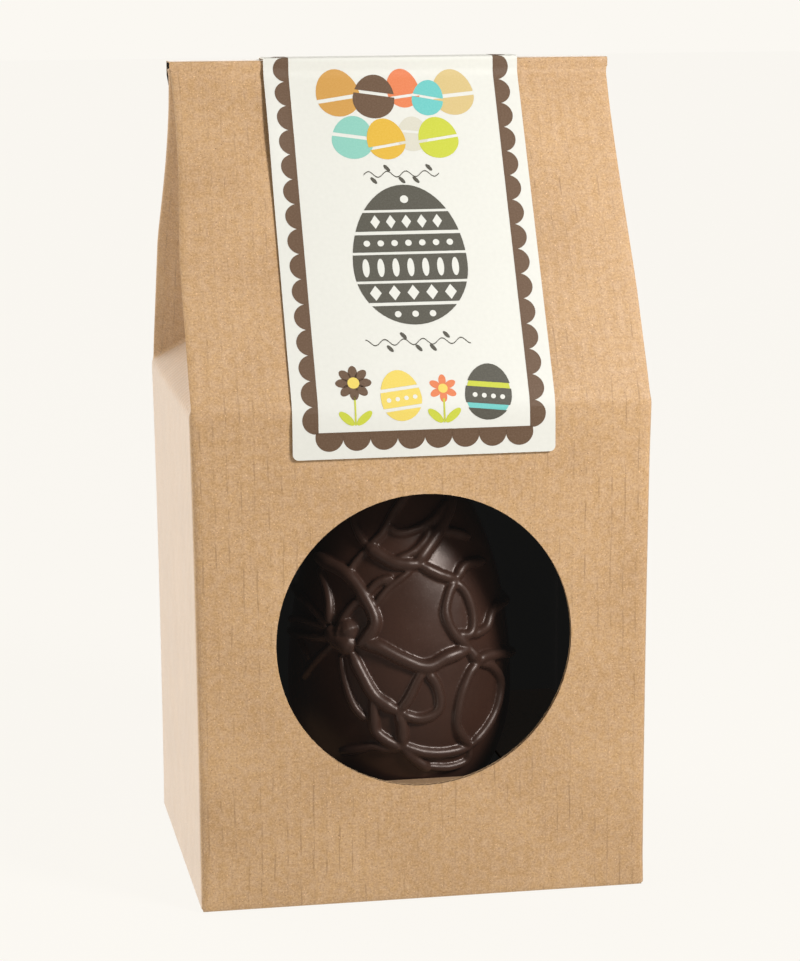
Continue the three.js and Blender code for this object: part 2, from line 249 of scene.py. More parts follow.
# %% [markdown]
# ## A way to write finishes
#
# A shader's sums are easier to read as sums than as a drawing of nodes. Value stands for
# one node socket: adding or multiplying two of them makes the Math node between. Finish
# holds one material, and its add method makes every other kind of node. All patterns are
# worked out from places on the object, never from where the camera is.

# %% Sockets that join in sums


class Value:
    """A node socket that can stand in Python sums. Each sum adds a Math node."""

    def __init__(self, finish, socket):
        self.finish = finish
        self.socket = socket

    def math(self, operation, *values):
        return self.finish.add("ShaderNodeMath", {"operation": operation}, *values)

    def __add__(self, other):
        return self.math("ADD", self, other)

    def __sub__(self, other):
        return self.math("SUBTRACT", self, other)

    def __rsub__(self, other):
        return self.math("SUBTRACT", other, self)

    def __mul__(self, other):
        return self.math("MULTIPLY", self, other)

    def __truediv__(self, other):
        return self.math("DIVIDE", self, other)

    __radd__ = __add__
    __rmul__ = __mul__

    def size(self):
        return self.math("ABSOLUTE", self)

    def part(self):
        """What is left after the whole number is taken off."""
        return self.math("FRACT", self)

    def wave(self):
        """A wave from -1 to 1 that repeats each time the value grows by one."""
        return self.math("SINE", self * (2 * math.pi))

    def between(self, low, high):
        """0 at low and 1 at high, with a soft start and end."""
        settings = {"interpolation_type": "SMOOTHSTEP"}
        return self.finish.add("ShaderNodeMapRange", settings, self, low, high, 0, 1)


class Finish:
    """One material, built from sums of values."""

    def __init__(self, name, **uniform):
        self.material = bpy.data.materials.new(name)
        self.material.use_nodes = True
        self.tree = self.material.node_tree
        self.surface = self.tree.nodes["Principled BSDF"]
        self.set(**uniform)

    def set(self, **sockets):
        """Sets sockets of the surface, their names written with underscores."""
        for name, value in sockets.items():
            self.plug(self.surface.inputs[name.replace("_", " ")], value)
        return self

    def plug(self, target, value):
        if isinstance(value, Value):
            self.tree.links.new(value.socket, target)
        else:
            target.default_value = value

    def add(self, kind, settings=None, *values, out=0, **named):
        """Adds a node: its settings come first, then values or links for its sockets."""
        node = self.tree.nodes.new(kind)
        for name, value in (settings or {}).items():
            setattr(node, name, value)
        for key, value in [*enumerate(values), *named.items()]:
            self.plug(node.inputs[key], value)
        return Value(self, node.outputs[out])

    def place(self, x=1.0, y=1.0, z=1.0):
        """Places on the object in millimetres, stretched along the axes."""
        return self.stretch(self.add("ShaderNodeTexCoord", out=3), x, y, z)

    def flat(self, u=1.0, v=1.0):
        """Places on the flat sheet in millimetres, stretched along u and v."""
        return self.stretch(self.add("ShaderNodeUVMap", {"uv_map": "sheet"}), u, v, 1)

    def stretch(self, where, x, y, z):
        scale = (x / MM, y / MM, z / MM)
        return self.add("ShaderNodeVectorMath", {"operation": "MULTIPLY"}, where, scale)

    def axis(self, where, number):
        return self.add("ShaderNodeSeparateXYZ", None, where, out=number)

    def noise(self, where, grain, detail=2.0, rough=0.5):
        """Cloudy noise round 0.5, with lumps about as wide as grain."""
        named = {"Vector": where, "Scale": 1 / grain, "Detail": detail, "Roughness": rough}
        return self.add("ShaderNodeTexNoise", None, **named)

    def blend(self, share, first, second):
        node = self.add("ShaderNodeMix", {"data_type": "RGBA"}, out=2)
        for number, value in ((0, share), (6, first), (7, second)):
            self.plug(node.socket.node.inputs[number], value)
        return node

    def bump(self, height):
        """Tilts the surface as a relief does whose height is in millimetres."""
        return self.add("ShaderNodeBump", None, Height=height, Distance=MM, Strength=1.0)


def colour(red, green, blue):
    """A screen colour from 0 to 255 as the linear numbers that a shader works with."""
    linear = []
    for part in (red / 255, green / 255, blue / 255):
        linear.append(part / 12.92 if part < 0.04045 else ((part + 0.055) / 1.055) ** 2.4)
    return (*linear, 1.0)


print("kraft brown as a shader colour:", [round(value, 3) for value in colour(180, 143, 105)])

# %% [markdown]
# ## Kraft board
#
# The liner of corrugated board is brown paper. Close up it is cloudy, with fine fibres,
# dark flecks of bark and pale flecks, which are pale fibres and also painted glints where
# fibres catch the light. The flutes inside show through as faint upright lines, and each
# glue line pulls the paper in a little, so the light ripples.
# Loose fibres brighten the paper where it is seen at a glancing angle, which is what the
# sheen stands for. Everything is drawn on the flat sheet's own places, so that it turns
# with every fold.

# %% Kraft finish
FLUTE = 3.75


def shift(tone, red, green, blue):
    """A colour with each channel multiplied."""
    return (tone[0] * red, tone[1] * green, tone[2] * blue, 1.0)


def kraft(name, deep, pale, line_strength=0.5, sheen=0.75):
    """The brown paper of one side of the board."""
    finish = Finish(name, Sheen_Weight=sheen, Sheen_Roughness=0.4)
    sheet = finish.flat()
    u = finish.axis(sheet, 0)
    clouds = finish.noise(sheet, 26, 3, 0.55)
    mottle = finish.noise(sheet, 2.4, 3, 0.5)
    grain = finish.noise(sheet, 0.62, 2, 0.7)
    across = finish.noise(finish.flat(0.4, 1.0), 0.55, 2)
    along = finish.noise(finish.flat(1.0, 0.35), 0.55, 2)
    fibre = across * 0.5 + along * 0.5
    tone = (clouds - 0.5) * 0.7 + (mottle - 0.5) * 0.5 + (grain - 0.5) * 2.0 + (fibre - 0.5) * 0.9 + 0.5
    share = tone.between(-0.2, 1.2)
    tint = finish.noise(sheet, 2.4, 3, 0.6).between(0.3, 0.7)
    reddish = finish.blend(share, shift(deep, 1.01, 0.99, 0.9), shift(pale, 1.01, 0.99, 0.9))
    yellowish = finish.blend(share, shift(deep, 0.99, 1.01, 1.1), shift(pale, 0.99, 1.01, 1.1))
    base = finish.blend(tint, reddish, yellowish)

    # The flutes: one broken line per flute, stronger in some patches than in others.
    drift = finish.noise(finish.flat(0.05, 0.05), 1.0, 1) * 0.35
    turn = (u / FLUTE + drift).part() - 0.5
    dashes = finish.noise(finish.flat(1.0, 0.12), 1.0, 2).between(0.45, 0.62)
    patches = finish.noise(sheet, 38, 1).between(0.36, 0.66) * 0.75 + 0.25
    line = (1 - turn.size().between(0.015, 0.1)) * dashes * patches
    lined = finish.blend(line * line_strength, base, shift(deep, 0.62, 0.6, 0.58))

    # Dark flecks of bark, pale fibres with painted glints on them, and the relief.
    bark = finish.noise(finish.flat(0.8, 1.1), 0.5, 1).between(0.69, 0.74)
    spark = finish.noise(finish.flat(1.1, 0.8), 0.45, 1).between(0.69, 0.745)
    flecked = finish.blend(bark * 0.8, lined, shift(deep, 0.5, 0.46, 0.42))
    glint = finish.blend(spark * 0.75, flecked, shift(pale, 1.5, 1.55, 1.7))
    ripple = (turn + 0.25).wave() * 0.02
    dents = finish.noise(sheet, 30, 2) * 0.5
    relief = ripple + dents + fibre * 0.02 + grain * 0.02 - line * 0.02
    return finish.set(
        Base_Color=glint,
        Roughness=(grain * 0.18 + 0.5) - spark * 0.12,
        Normal=finish.bump(relief),
    )


KRAFT_DEEP = colour(160, 124, 84)
KRAFT_PALE = colour(200, 163, 120)
kraft_board = kraft("kraft_board", KRAFT_DEEP, KRAFT_PALE)
print("kraft_board:", len(kraft_board.tree.nodes), "nodes, flutes every", FLUTE, "mm")

# %% [markdown]
# The inside of this carton is made matt black, with low dents like the board's. This black
# is painted shade: it stands for the deep shade inside the carton and makes the window read
# as a dark hole behind the chocolate. Stray light in a lens keeps the darkest parts of a
# picture from being quite black. A very small, even glow of the inside, the platform and the
# chocolate stands for it, as a painted glow. Where the sheet is cut, its three layers show:
# two liners and, between them, the wavy medium. The hollows between them are painted dark,
# as their shade.

# %% Black lining and cut edge
STRAY_LIGHT = (1.0, 1.0, 0.96, 1.0)  # its colour
# Painted shade: the inside is made near black, with a faint glow, to stand for the deep shade inside
# the carton.
black_painted_shade = Finish("black_painted_shade", Roughness=0.85)
black_mottle = black_painted_shade.noise(black_painted_shade.flat(), 2.0, 3)
black_painted_shade.set(
    Base_Color=black_painted_shade.blend(black_mottle, colour(25, 25, 24), colour(31, 30, 29)),
    Emission_Color=STRAY_LIGHT,
    Emission_Strength=0.006,
    Normal=black_painted_shade.bump(black_mottle * 0.05 + black_painted_shade.noise(black_painted_shade.flat(), 30, 1) * 0.4),
)

board_edge = Finish("board_edge", Roughness=0.85)
depth = board_edge.add("ShaderNodeAttribute", {"attribute_name": "depth"}, out=2)
edge_u = board_edge.axis(board_edge.flat(), 0)
medium = ((depth - 0.5) * 2 - (edge_u / FLUTE).wave() * 0.72).size()
layer = (1 - medium.between(0.2, 0.34)) + (1 - depth.between(0.1, 0.16)) + depth.between(0.84, 0.9)
fluff = board_edge.noise(board_edge.place(), 0.5, 3)
paper = layer * (fluff * 0.5 + 0.7)
# Painted shade: where no layer shows, the hollows between the liners and the medium are coloured dark.
board_edge.set(
    Base_Color=board_edge.blend(paper, colour(118, 88, 60), colour(208, 174, 132)),
    Normal=board_edge.bump(layer * 0.15 + fluff * 0.12),
)
print("board edge layers:", len(board_edge.tree.nodes), "nodes")

# %% [markdown]
# ## The carton's folded form
#
# A carton could be built wall by wall, but then every corner needs a seam. The real one
# is a single flat blank. So it is drawn flat here, with its window, closing flap and
# bottom flaps, and a function carries each point of the flat sheet to its folded place.
# On the sheet, u runs round the carton with 0 at the middle of the front, and v runs up
# from the bottom crease.

# %% Sizes of the folded carton
BOARD = 1.6
carton_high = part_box("carton")[1] / MM
HALF_DEPTH = carton_high.y
RIDGE_Z = carton_high.z
BULGE = 1.0  # the sides stand out this far at the shoulder
HALF_WIDTH = carton_high.x - BULGE
SHOULDER_Z = 144.0
HEM = 4.0
RIDGE_HALF = 2 * BOARD
APEX = (42.5, 32.0)  # where the gusset creases meet, in from the side and up from the shoulder
TIP = (52.2, 84.4)  # the top of the gusset's middle crease
SEAM = 0.1  # half the slit between the two pressed gusset layers
LAYER_GAP = 0.05  # between two layers of board that lie on one another
FLAP = 32.0  # length of the closing flap down the back
GUSSET_EASE = 0.4  # how much shorter a gusset's edge is than the panel's beside it

SLOPE = math.hypot(HALF_DEPTH - RIDGE_HALF, RIDGE_Z - HEM - SHOULDER_Z)
LEAN = np.array([0, HALF_DEPTH - RIDGE_HALF, RIDGE_Z - HEM - SHOULDER_Z]) / SLOPE
V_SHOULDER = SHOULDER_Z
V_HEM = V_SHOULDER + SLOPE
V_RIDGE = V_HEM + HEM
V_OVER = V_RIDGE + 2 * RIDGE_HALF + BOARD  # the flap has crossed the ridge
V_BACK = V_OVER + HEM
V_FLAP_END = V_BACK + FLAP
V_GUSSET = V_HEM + 1.5  # the top edge of the gussets
GUSSET_REACH = SLOPE + HEM - GUSSET_EASE  # a gusset's edge from the shoulder to the ridge
print(f"leaning panels {SLOPE:.1f} mm long, flap ends at {V_FLAP_END:.1f} on the sheet")

# %% From flat sheet to folded carton


def bow(share, left):
    """How far the upper side edges wander from straight, in mm outwards."""
    wave = 1.25 * np.cos(4.36 * (share - 0.17)) * np.clip(1.12 - 0.55 * share**3, 0, 1)
    return np.where(left, wave, 0.35 * wave)


def half_width(v, left):
    """Half the carton's width at a height on the sheet."""
    low = HALF_WIDTH + BULGE * np.clip(v / V_SHOULDER, 0, 1) ** 2.5
    share = np.clip((v - V_SHOULDER) / SLOPE, 0, 1)
    high = HALF_WIDTH + BULGE * (1 - share) + bow(share, left) * np.clip(share * 9, 0, 1)
    return np.minimum(np.where(v <= V_SHOULDER, low, high), HALF_WIDTH + BULGE)


def front_path(v):
    """Y and Z along the middle of the front: bottom flap, walls, ridge, closing flap."""
    stops = [-HALF_DEPTH, 0, V_SHOULDER, V_HEM, V_RIDGE, V_OVER, V_BACK, V_FLAP_END]
    over = RIDGE_HALF + BOARD + LAYER_GAP
    y = [0, -HALF_DEPTH, -HALF_DEPTH, -RIDGE_HALF, -RIDGE_HALF, over, over, over + FLAP * LEAN[1]]
    hem_z = RIDGE_Z - HEM
    z = [0, 0, SHOULDER_Z, hem_z, RIDGE_Z, RIDGE_Z, hem_z, hem_z - FLAP * LEAN[2]]
    return np.interp(v, stops, y), np.interp(v, stops, z)


def fold_front(u, v):
    y, z = front_path(v)
    return np.stack([u * half_width(np.minimum(v, V_RIDGE), u < 0) / HALF_WIDTH, y, z], -1)


def fold_back(u, v):
    """The back, with u counted from its own middle, positive towards the right."""
    stops = [-HALF_DEPTH, 0, V_SHOULDER, V_HEM, V_RIDGE]
    y = np.interp(v, stops, [0, HALF_DEPTH, HALF_DEPTH, RIDGE_HALF, RIDGE_HALF])
    z = np.interp(v, stops, [0, 0, SHOULDER_Z, RIDGE_Z - HEM, RIDGE_Z])
    return np.stack([u * half_width(v, u < 0) / HALF_WIDTH, y, z], -1)


def triangle_map(flat, folded):
    """The straight map that takes a flat triangle to a folded one, as a 3 x 3 table."""
    return np.linalg.solve(np.column_stack([flat, np.ones(3)]), np.array(folded))


def fold_side(w, v, side):
    """A side wall and its gusset. w runs from -HALF_DEPTH at the front to HALF_DEPTH."""
    left = side < 0
    wall = np.stack([side * half_width(v, left), w, np.clip(v, 0, None)], -1)
    flap_x = side * (half_width(v * 0, left) + np.minimum(v, 0))
    inward = np.stack([flap_x, w, 0 * v + BOARD + LAYER_GAP], -1)
    rise = v - V_SHOULDER
    shoulder = side * (HALF_WIDTH + BULGE)
    apex = [shoulder - side * APEX[0], 0, SHOULDER_Z + APEX[1]]
    tip = [side * (HALF_WIDTH - TIP[0]), 0, SHOULDER_Z + TIP[1]]
    folded = wall
    for end in (-1, 1):
        corner = [shoulder, end * HALF_DEPTH, SHOULDER_Z]
        top = [side * HALF_WIDTH, end * SEAM, RIDGE_Z]
        flat_corner, flat_apex = [end * HALF_DEPTH, 0], [0, HALF_DEPTH]
        flat_top, flat_tip = [end * HALF_DEPTH, GUSSET_REACH], [0, GUSSET_REACH]
        front, rear = ([shoulder, y, SHOULDER_Z] for y in (-HALF_DEPTH, HALF_DEPTH))
        sill = triangle_map([[-HALF_DEPTH, 0], [HALF_DEPTH, 0], flat_apex], [front, rear, apex])
        lower = triangle_map([flat_corner, flat_top, flat_apex], [corner, top, apex])
        upper = triangle_map([flat_apex, flat_top, flat_tip], [apex, top, tip])
        at = np.stack([w, rise, np.ones_like(w)], -1)
        here = (w * end >= 0) & (rise > 0)
        under_sill = rise <= HALF_DEPTH - np.abs(w)
        under_top = (rise - HALF_DEPTH) / (GUSSET_REACH - HALF_DEPTH) <= np.abs(w) / HALF_DEPTH
        share = np.clip(rise / SLOPE, 0, 1)
        wander = half_width(v, left) - (HALF_WIDTH + BULGE * (1 - share))
        wander = side * wander * (np.abs(w) / HALF_DEPTH) ** 2
        leaf = np.where(under_top[..., None], at @ lower, at @ upper)
        leaf = leaf + np.stack([wander, 0 * w, 0 * w], -1)
        above = np.where(under_sill[..., None], at @ sill, leaf)
        folded = np.where(here[..., None], above, folded)
    return np.where((v < 0)[..., None], inward, folded)


def fold_sheet(u, v):
    """Any point of the sheet, with sharp creases."""
    ends = [HALF_WIDTH + 0.01, HALF_WIDTH + 2 * HALF_DEPTH - 0.01]
    right_side = fold_side(u - HALF_WIDTH - HALF_DEPTH, v, 1)
    left_side = fold_side(-u - HALF_WIDTH - HALF_DEPTH, v, -1)
    back = fold_back(-u - 2 * HALF_WIDTH - 2 * HALF_DEPTH, v)
    folded = fold_front(u, v)
    folded = np.where((u > ends[0])[..., None], right_side, folded)
    folded = np.where((u < -ends[0])[..., None], left_side, folded)
    return np.where((u < -ends[1])[..., None], back, folded)


print("the closing flap ends at y, z:", *(value.round(1) for value in front_path(V_FLAP_END)))

# %% Rounded creases
# Heights on the sheet, and the radius over which a crease is rounded there.
ALONG_U = [(-0.7, 0.0), (0, 1.6), (8, 2.8), (130, 2.8), (150, 1.6), (235, 1.5), (246, 1.0), (248, 0.0)]
ALONG_V = [
    (-50, 0.5), (-4, 1.4), (4, 1.4), (40, 2.0), (130, 2.4), (160, 1.6), (240, 1.2), (246, 1.0),
]
RINGS = ((0.5, 8, 1.0), (1.0, 12, 0.55))  # share of the radius, points on it, their weight


def fold(u, v):
    """The folded place of a point of the sheet, averaged over two small rings round it."""
    radius_u, radius_v = (np.interp(v, *zip(*table)) for table in (ALONG_U, ALONG_V))
    own_flap = v > V_GUSSET + 0.5
    total = 2.0 * fold_sheet(u, v)
    weight = 2.0
    for ring, count, share in RINGS:
        for step in range(count):
            angle = 2 * math.pi * (step + ring) / count
            near_u = u + ring * radius_u * math.cos(angle) * ~own_flap
            near_v = v + ring * radius_v * math.sin(angle)
            total = total + share * fold_sheet(near_u, near_v)
            weight += share
    return total / weight


print("front shoulder folds to", fold(np.array([0.0]), np.array([V_SHOULDER])).round(2))

# %% [markdown]
# ## The carton's flat blank
#
# The blank starts as one plane. Straight cuts give it the rows and columns that the folds
# need: close together at the creases and 4 mm apart elsewhere. For the window a square
# block of faces is taken out, and its edge is extruded inwards onto a circle. The flaps
# are extruded from the sheet's edges.

# %% Draw the flat blank
JOINT = 0.3  # the slit at the joint, between the right wall's free edge and the back's inner face
SEAM_END = HALF_WIDTH + 2 * HALF_DEPTH - BOARD - JOINT  # the right wall's free edge
BACK_END = -3 * HALF_WIDTH - 2 * HALF_DEPTH  # the back's free edge, at the same corner
WINDOW_RADIUS = 42.5
WINDOW_Z = 76.5
WINDOW_BLOCK = 48.0
PITCH = 4.0


def crease_rows(crease, reach, count):
    """Places of cuts across a crease, from one side of its rounding to the other."""
    return [crease + reach * step / count for step in range(-count, count + 1)]


def between(low, high, crowded):
    """Cuts about PITCH apart in line with the window's block, clear of the crowded ones."""
    first = math.ceil((low + WINDOW_BLOCK) / PITCH)
    last = math.floor((high + WINDOW_BLOCK) / PITCH)
    even = [-WINDOW_BLOCK + PITCH * step for step in range(first, last + 1)]
    return [value for value in even if all(abs(value - other) > 0.7 for other in crowded)]


corner_u = [-HALF_WIDTH - 2 * HALF_DEPTH, -HALF_WIDTH, HALF_WIDTH]
u_cuts = [u for crease in corner_u for u in crease_rows(crease, 3.6, 6)]
u_cuts += between(BACK_END, SEAM_END, u_cuts)
v_cuts = [v for crease in (V_SHOULDER, V_HEM) for v in crease_rows(crease, 3.0, 4)]
v_cuts = [v for v in v_cuts if v < V_GUSSET - 0.3] + [0.8, 1.6, 2.6]
crowded = [v - WINDOW_Z for v in v_cuts]
v_cuts += [WINDOW_Z + v for v in between(-WINDOW_Z, V_GUSSET - WINDOW_Z, crowded)]

blank = plane(
    "carton_board", SEAM_END - BACK_END, V_GUSSET, (SEAM_END + BACK_END) / 2, V_GUSSET / 2
)
cut_rows(blank, sorted(u_cuts), sorted(v_cuts))
done(blank)
tell(blank)

# %% Cut the gusset creases, the window and the flaps
edit(blank)
side_middles = [HALF_WIDTH + HALF_DEPTH, -HALF_WIDTH - HALF_DEPTH]
top_slope = (GUSSET_REACH - HALF_DEPTH) / HALF_DEPTH
for centre in side_middles:
    for end in (-1, 1):

        def upper_half(point, centre=centre, end=end):
            beside = (point.x - centre) * end
            return -0.2 < beside < HALF_DEPTH + 0.2 and point.y > V_SHOULDER - 0.2

        for off in (-2.0, -1.0, 0.0, 1.0, 2.0):
            meeting = (centre, V_SHOULDER + HALF_DEPTH + off, 0)
            cut(blank, meeting, (end, 1, 0), upper_half)
            cut(blank, meeting, (-end * top_slope, 1, 0), upper_half)

choose(blank, "faces", lambda p: abs(p.x) < WINDOW_BLOCK and abs(p.y - WINDOW_Z) < WINDOW_BLOCK)
bpy.ops.mesh.delete(type="FACE")
choose_all_of(blank, "edges", lambda p: max(abs(p.x), abs(p.y - WINDOW_Z)) < WINDOW_BLOCK + 0.1)
bpy.ops.mesh.extrude_region_move()
window_middle = Vector((0, WINDOW_Z, 0))
move_chosen(blank, lambda p: window_middle + (p - window_middle).normalized() * WINDOW_RADIUS)
done(blank)
tell(blank)

# %% Add the flaps


def grow(piece, on_edge, length, narrower=1.0):
    """Extrudes the sheet's edges that pass the test straight up, or down if length < 0."""
    choose_all_of(piece, "edges", on_edge)
    bpy.ops.mesh.extrude_region_move(TRANSFORM_OT_translate={"value": (0, length * MM, 0)})
    bpy.ops.transform.resize(value=(narrower, 1, 1))


def on_row(v, low, high):
    return lambda point: abs(point.y - v) < 0.01 and low <= point.x <= high


NOTCH = 0.4  # the bottom flaps keep at least this far from the corner creases
FLAP_TAPER = 6.0  # how much further in each side of the closing flap ends
LONG_FLAP = HALF_DEPTH - 0.25  # the bottom flaps under the front and the back nearly meet
SIDE_FLAP = 50.0
BACK_TOP = V_HEM + 2.3  # the back ends inside the fold of the ridge
NEAR = 0.1

edit(blank)
grow(blank, on_row(V_GUSSET, -HALF_WIDTH - NEAR, HALF_WIDTH + NEAR), V_BACK - V_GUSSET)
front_edge = on_row(V_BACK, -HALF_WIDTH - NEAR, HALF_WIDTH + NEAR)
grow(blank, front_edge, FLAP, 1 - FLAP_TAPER / HALF_WIDTH)
grow(blank, on_row(V_GUSSET, BACK_END - NEAR, corner_u[0] + NEAR), BACK_TOP - V_GUSSET)
wall_ends = [BACK_END, *corner_u, SEAM_END]
flap_depths = [LONG_FLAP, SIDE_FLAP, LONG_FLAP, SIDE_FLAP]
for low, high, depth in zip(wall_ends, wall_ends[1:], flap_depths):
    grow(blank, on_row(0, low + NOTCH, high - NOTCH), -depth)
flap_rows = [v for crease in (V_RIDGE, V_OVER, V_BACK) for v in crease_rows(crease, 1.4, 3)]
flap_rows += [V_BACK + PITCH * step for step in range(1, 8)]
cut_rows(blank, along=[-2.6, -1.6, -0.8, *flap_rows])
done(blank)
tell(blank)

# %% [markdown]
# ## Folding the blank and giving it thickness
#
# The flat places are kept as a UV map before the sheet is folded, so that the flutes of
# the board later run up every wall, over each crease and along the gussets as they do on
# the real sheet. Solidify then adds the board's thickness behind the outer face. Its rim
# gets a material slot for the cut edge, its inner shell one for the black painted shade,
# and a "depth" attribute that runs from 0 outside to 1 inside serves the cut edge's pattern.

# %% Fold and thicken the carton


def keep_flat_places(piece):
    """Stores each corner's place on the flat sheet, in metres, as a UV map."""
    flat = places(piece)[:, :2] * MM
    corners = np.empty(len(piece.data.loops), np.int32)
    piece.data.loops.foreach_get("vertex_index", corners)
    kept = piece.data.uv_layers.new(name="sheet")
    kept.uv.foreach_set("vector", flat[corners].astype(np.float32).ravel())


def thicken(piece, thickness, inside=1):
    """Gives a sheet thickness inwards, with slots for its outside, its inside and its rim."""
    outer_count = len(piece.data.vertices)
    apply_modifier(
        piece, "SOLIDIFY", thickness=thickness * MM, offset=-1, use_even_offset=True,
        thickness_clamp=1.2, material_offset=inside, material_offset_rim=2,
    )
    depth = piece.data.attributes.new("depth", "FLOAT", "POINT")
    is_inner = np.arange(len(piece.data.vertices)) >= outer_count
    depth.data.foreach_set("value", is_inner.astype(np.float32))


def dress(piece, *finishes):
    for finish in finishes:
        piece.data.materials.append(finish.material)


keep_flat_places(blank)
flat_places = places(blank)
put(blank, fold(flat_places[:, 0], flat_places[:, 1]))
face_outwards(blank)
dress(blank, kraft_board, black_painted_shade, board_edge)
thicken(blank, BOARD)
smooth(blank, 40)
tell(blank)

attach(blank, "root")
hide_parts("carton")

# %% [markdown]
# ## The platform that holds the egg
#
# Inside stands a second folded sheet: a shelf with a square hole, and a leg down each
# side. It is cut from the same board, so it is made the same way: a flat plane, an inset
# hole with rounded corners, two legs folded down with a small bevel, and a thickness.
# Its kraft is painted darker than the carton's, as painted shade inside the carton.

# %% Make the platform
platform_low, platform_high = (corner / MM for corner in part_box("platform"))
HOLE = 57.5
HOLE_CORNER = 3.0
LEG_BEND = 1.8
EGG_Y = -12
# Painted shade: the same kraft in darker colours, as the shelf stands in the carton's shade.
platform_board = kraft("platform_board", colour(146, 112, 78), colour(176, 140, 102), 0.6, 0.1)
platform_board.set(Emission_Color=STRAY_LIGHT, Emission_Strength=0.004)

shelf_width, shelf_depth, leg = platform_high - platform_low
shelf_top = platform_high.z
shelf = plane("platform_board", shelf_width, shelf_depth, z=shelf_top)
bpy.ops.mesh.inset(thickness=20 * MM)  # any width will do: its corners are moved next
choose(shelf, "verts", lambda p: abs(p.x) < shelf_width / 2 - 5 and abs(p.y) < shelf_depth / 2 - 5)
move_chosen(shelf, lambda p: Vector((
    math.copysign(HOLE / 2, p.x), EGG_Y + math.copysign(HOLE / 2, p.y), shelf_top
)))
bpy.ops.mesh.bevel(offset=HOLE_CORNER * MM, segments=6, affect="VERTICES")
choose(shelf, "faces", lambda p: abs(p.x) < 1 and abs(p.y - EGG_Y) < 1)
bpy.ops.mesh.delete(type="FACE")
for side in (-1, 1):
    outermost = shelf_width / 2 - 0.01
    choose_all_of(shelf, "edges", lambda p: p.x * side > outermost)
    bpy.ops.mesh.extrude_region_move(TRANSFORM_OT_translate={"value": (0, 0, -leg * MM)})
    choose_all_of(shelf, "edges", lambda p: p.x * side > outermost and p.z > shelf_top - 0.01)
    bpy.ops.mesh.bevel(offset=LEG_BEND * MM, segments=5, affect="EDGES")
cut_rows(shelf, range(-60, 61, 6), range(-48, 49, 6))
done(shelf)
keep_flat_places(shelf)
dress(shelf, platform_board, board_edge, board_edge)
face_outwards(shelf)
thicken(shelf, BOARD, inside=0)
smooth(shelf, 40)
tell(shelf)
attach(shelf, "root")
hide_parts("platform")

# %% [markdown]
# ## Dark chocolate
#
# Tempered dark chocolate is nearly black-brown with a satin sheen. A moulded shell is
# never quite even: it has faint waves, tiny pits, and a dusty bloom where it was handled.
# The sheen comes from roughness that varies a little, and the waves from a low relief.
# Piped threads set without a mould, so they have neither its pits nor its cloudy colour.
# Each place of the egg's mesh will store its height above the shell, in an attribute that
# tells thread from shell.

# %% Chocolate finish
chocolate = Finish("dark_chocolate")
height = chocolate.add("ShaderNodeAttribute", {"attribute_name": "height"}, out=2)
piped = height.between(0.25, 0.9)
place = chocolate.place()
clouds = chocolate.noise(place, 18, 3)
grain = chocolate.noise(place, 0.9, 3, 0.6)
bloom = chocolate.noise(place, 7, 4, 0.65).between(0.5, 0.8)
waves = chocolate.noise(place, 11, 1) * 0.35
pits = chocolate.noise(place, 0.35, 1).between(0.7, 0.8)
shade = (clouds * 0.7 + grain * 0.3).between(0.25, 0.75)
moulded = chocolate.blend(shade, colour(51, 32, 24), colour(58, 36, 27))
chocolate.set(
    Base_Color=chocolate.blend(piped, moulded, colour(56, 37, 29)),
    Roughness=(bloom * 0.08 + 0.36) + (grain - 0.5) * 0.1 + piped * 0.04,
    Normal=chocolate.bump(waves + (grain * 0.012 - pits * 0.02) * (1 - piped)),
    Specular_IOR_Level=0.45,
    Specular_Tint=(1.0, 0.87, 0.8, 1.0),
    Emission_Color=STRAY_LIGHT,
    Emission_Strength=0.003,
)
print("dark_chocolate:", len(chocolate.tree.nodes), "nodes")

# %% [markdown]
# ## The egg's shell
#
# The shell is moulded in two halves. Its outline is a half ellipse below the widest
# section and a longer one above it, so a sphere is stretched by different amounts above
# and below its middle. The shape is smooth: what keeps it from looking like a machined
# part is the low relief of its finish.

# %% Make the egg's shell
EGG_RADIUS = 33.2
EGG_WIDEST_Z = 55.3
EGG_BELOW = 44
EGG_ABOVE = 70

bpy.ops.object.select_all(action="DESELECT")
bpy.ops.mesh.primitive_uv_sphere_add(segments=160, ring_count=112, radius=EGG_RADIUS * MM)
shell = bpy.context.object
shell.name = "egg"
shell.data.name = "egg"
edit(shell)
for half, reach in ((1, EGG_ABOVE), (-1, EGG_BELOW)):
    choose(shell, "verts", lambda p: p.z * half > 0.001)
    bpy.ops.transform.resize(value=(1, 1, reach / EGG_RADIUS), center_override=(0, 0, 0))
bpy.ops.mesh.select_all(action="SELECT")
bpy.ops.transform.translate(value=(0, EGG_Y * MM, EGG_WIDEST_Z * MM))
done(shell)
tell(shell)

# %% [markdown]
# ## The piped drizzle
#
# Melted chocolate was trailed over the shell in loops. It sets as half-round threads that
# are thicker where they slow down, and it runs together where they cross. Each thread is
# a round bar along a smooth line just above the shell, and the broad pool is sunk into it.
# All bars and the shell are made a little too thick, joined, remeshed, smoothed and shrunk
# back. That leaves them nearly as they were but softens the sharp corners between them, as
# surface tension does. The mesh is thinned at the end, because flat parts need few faces.

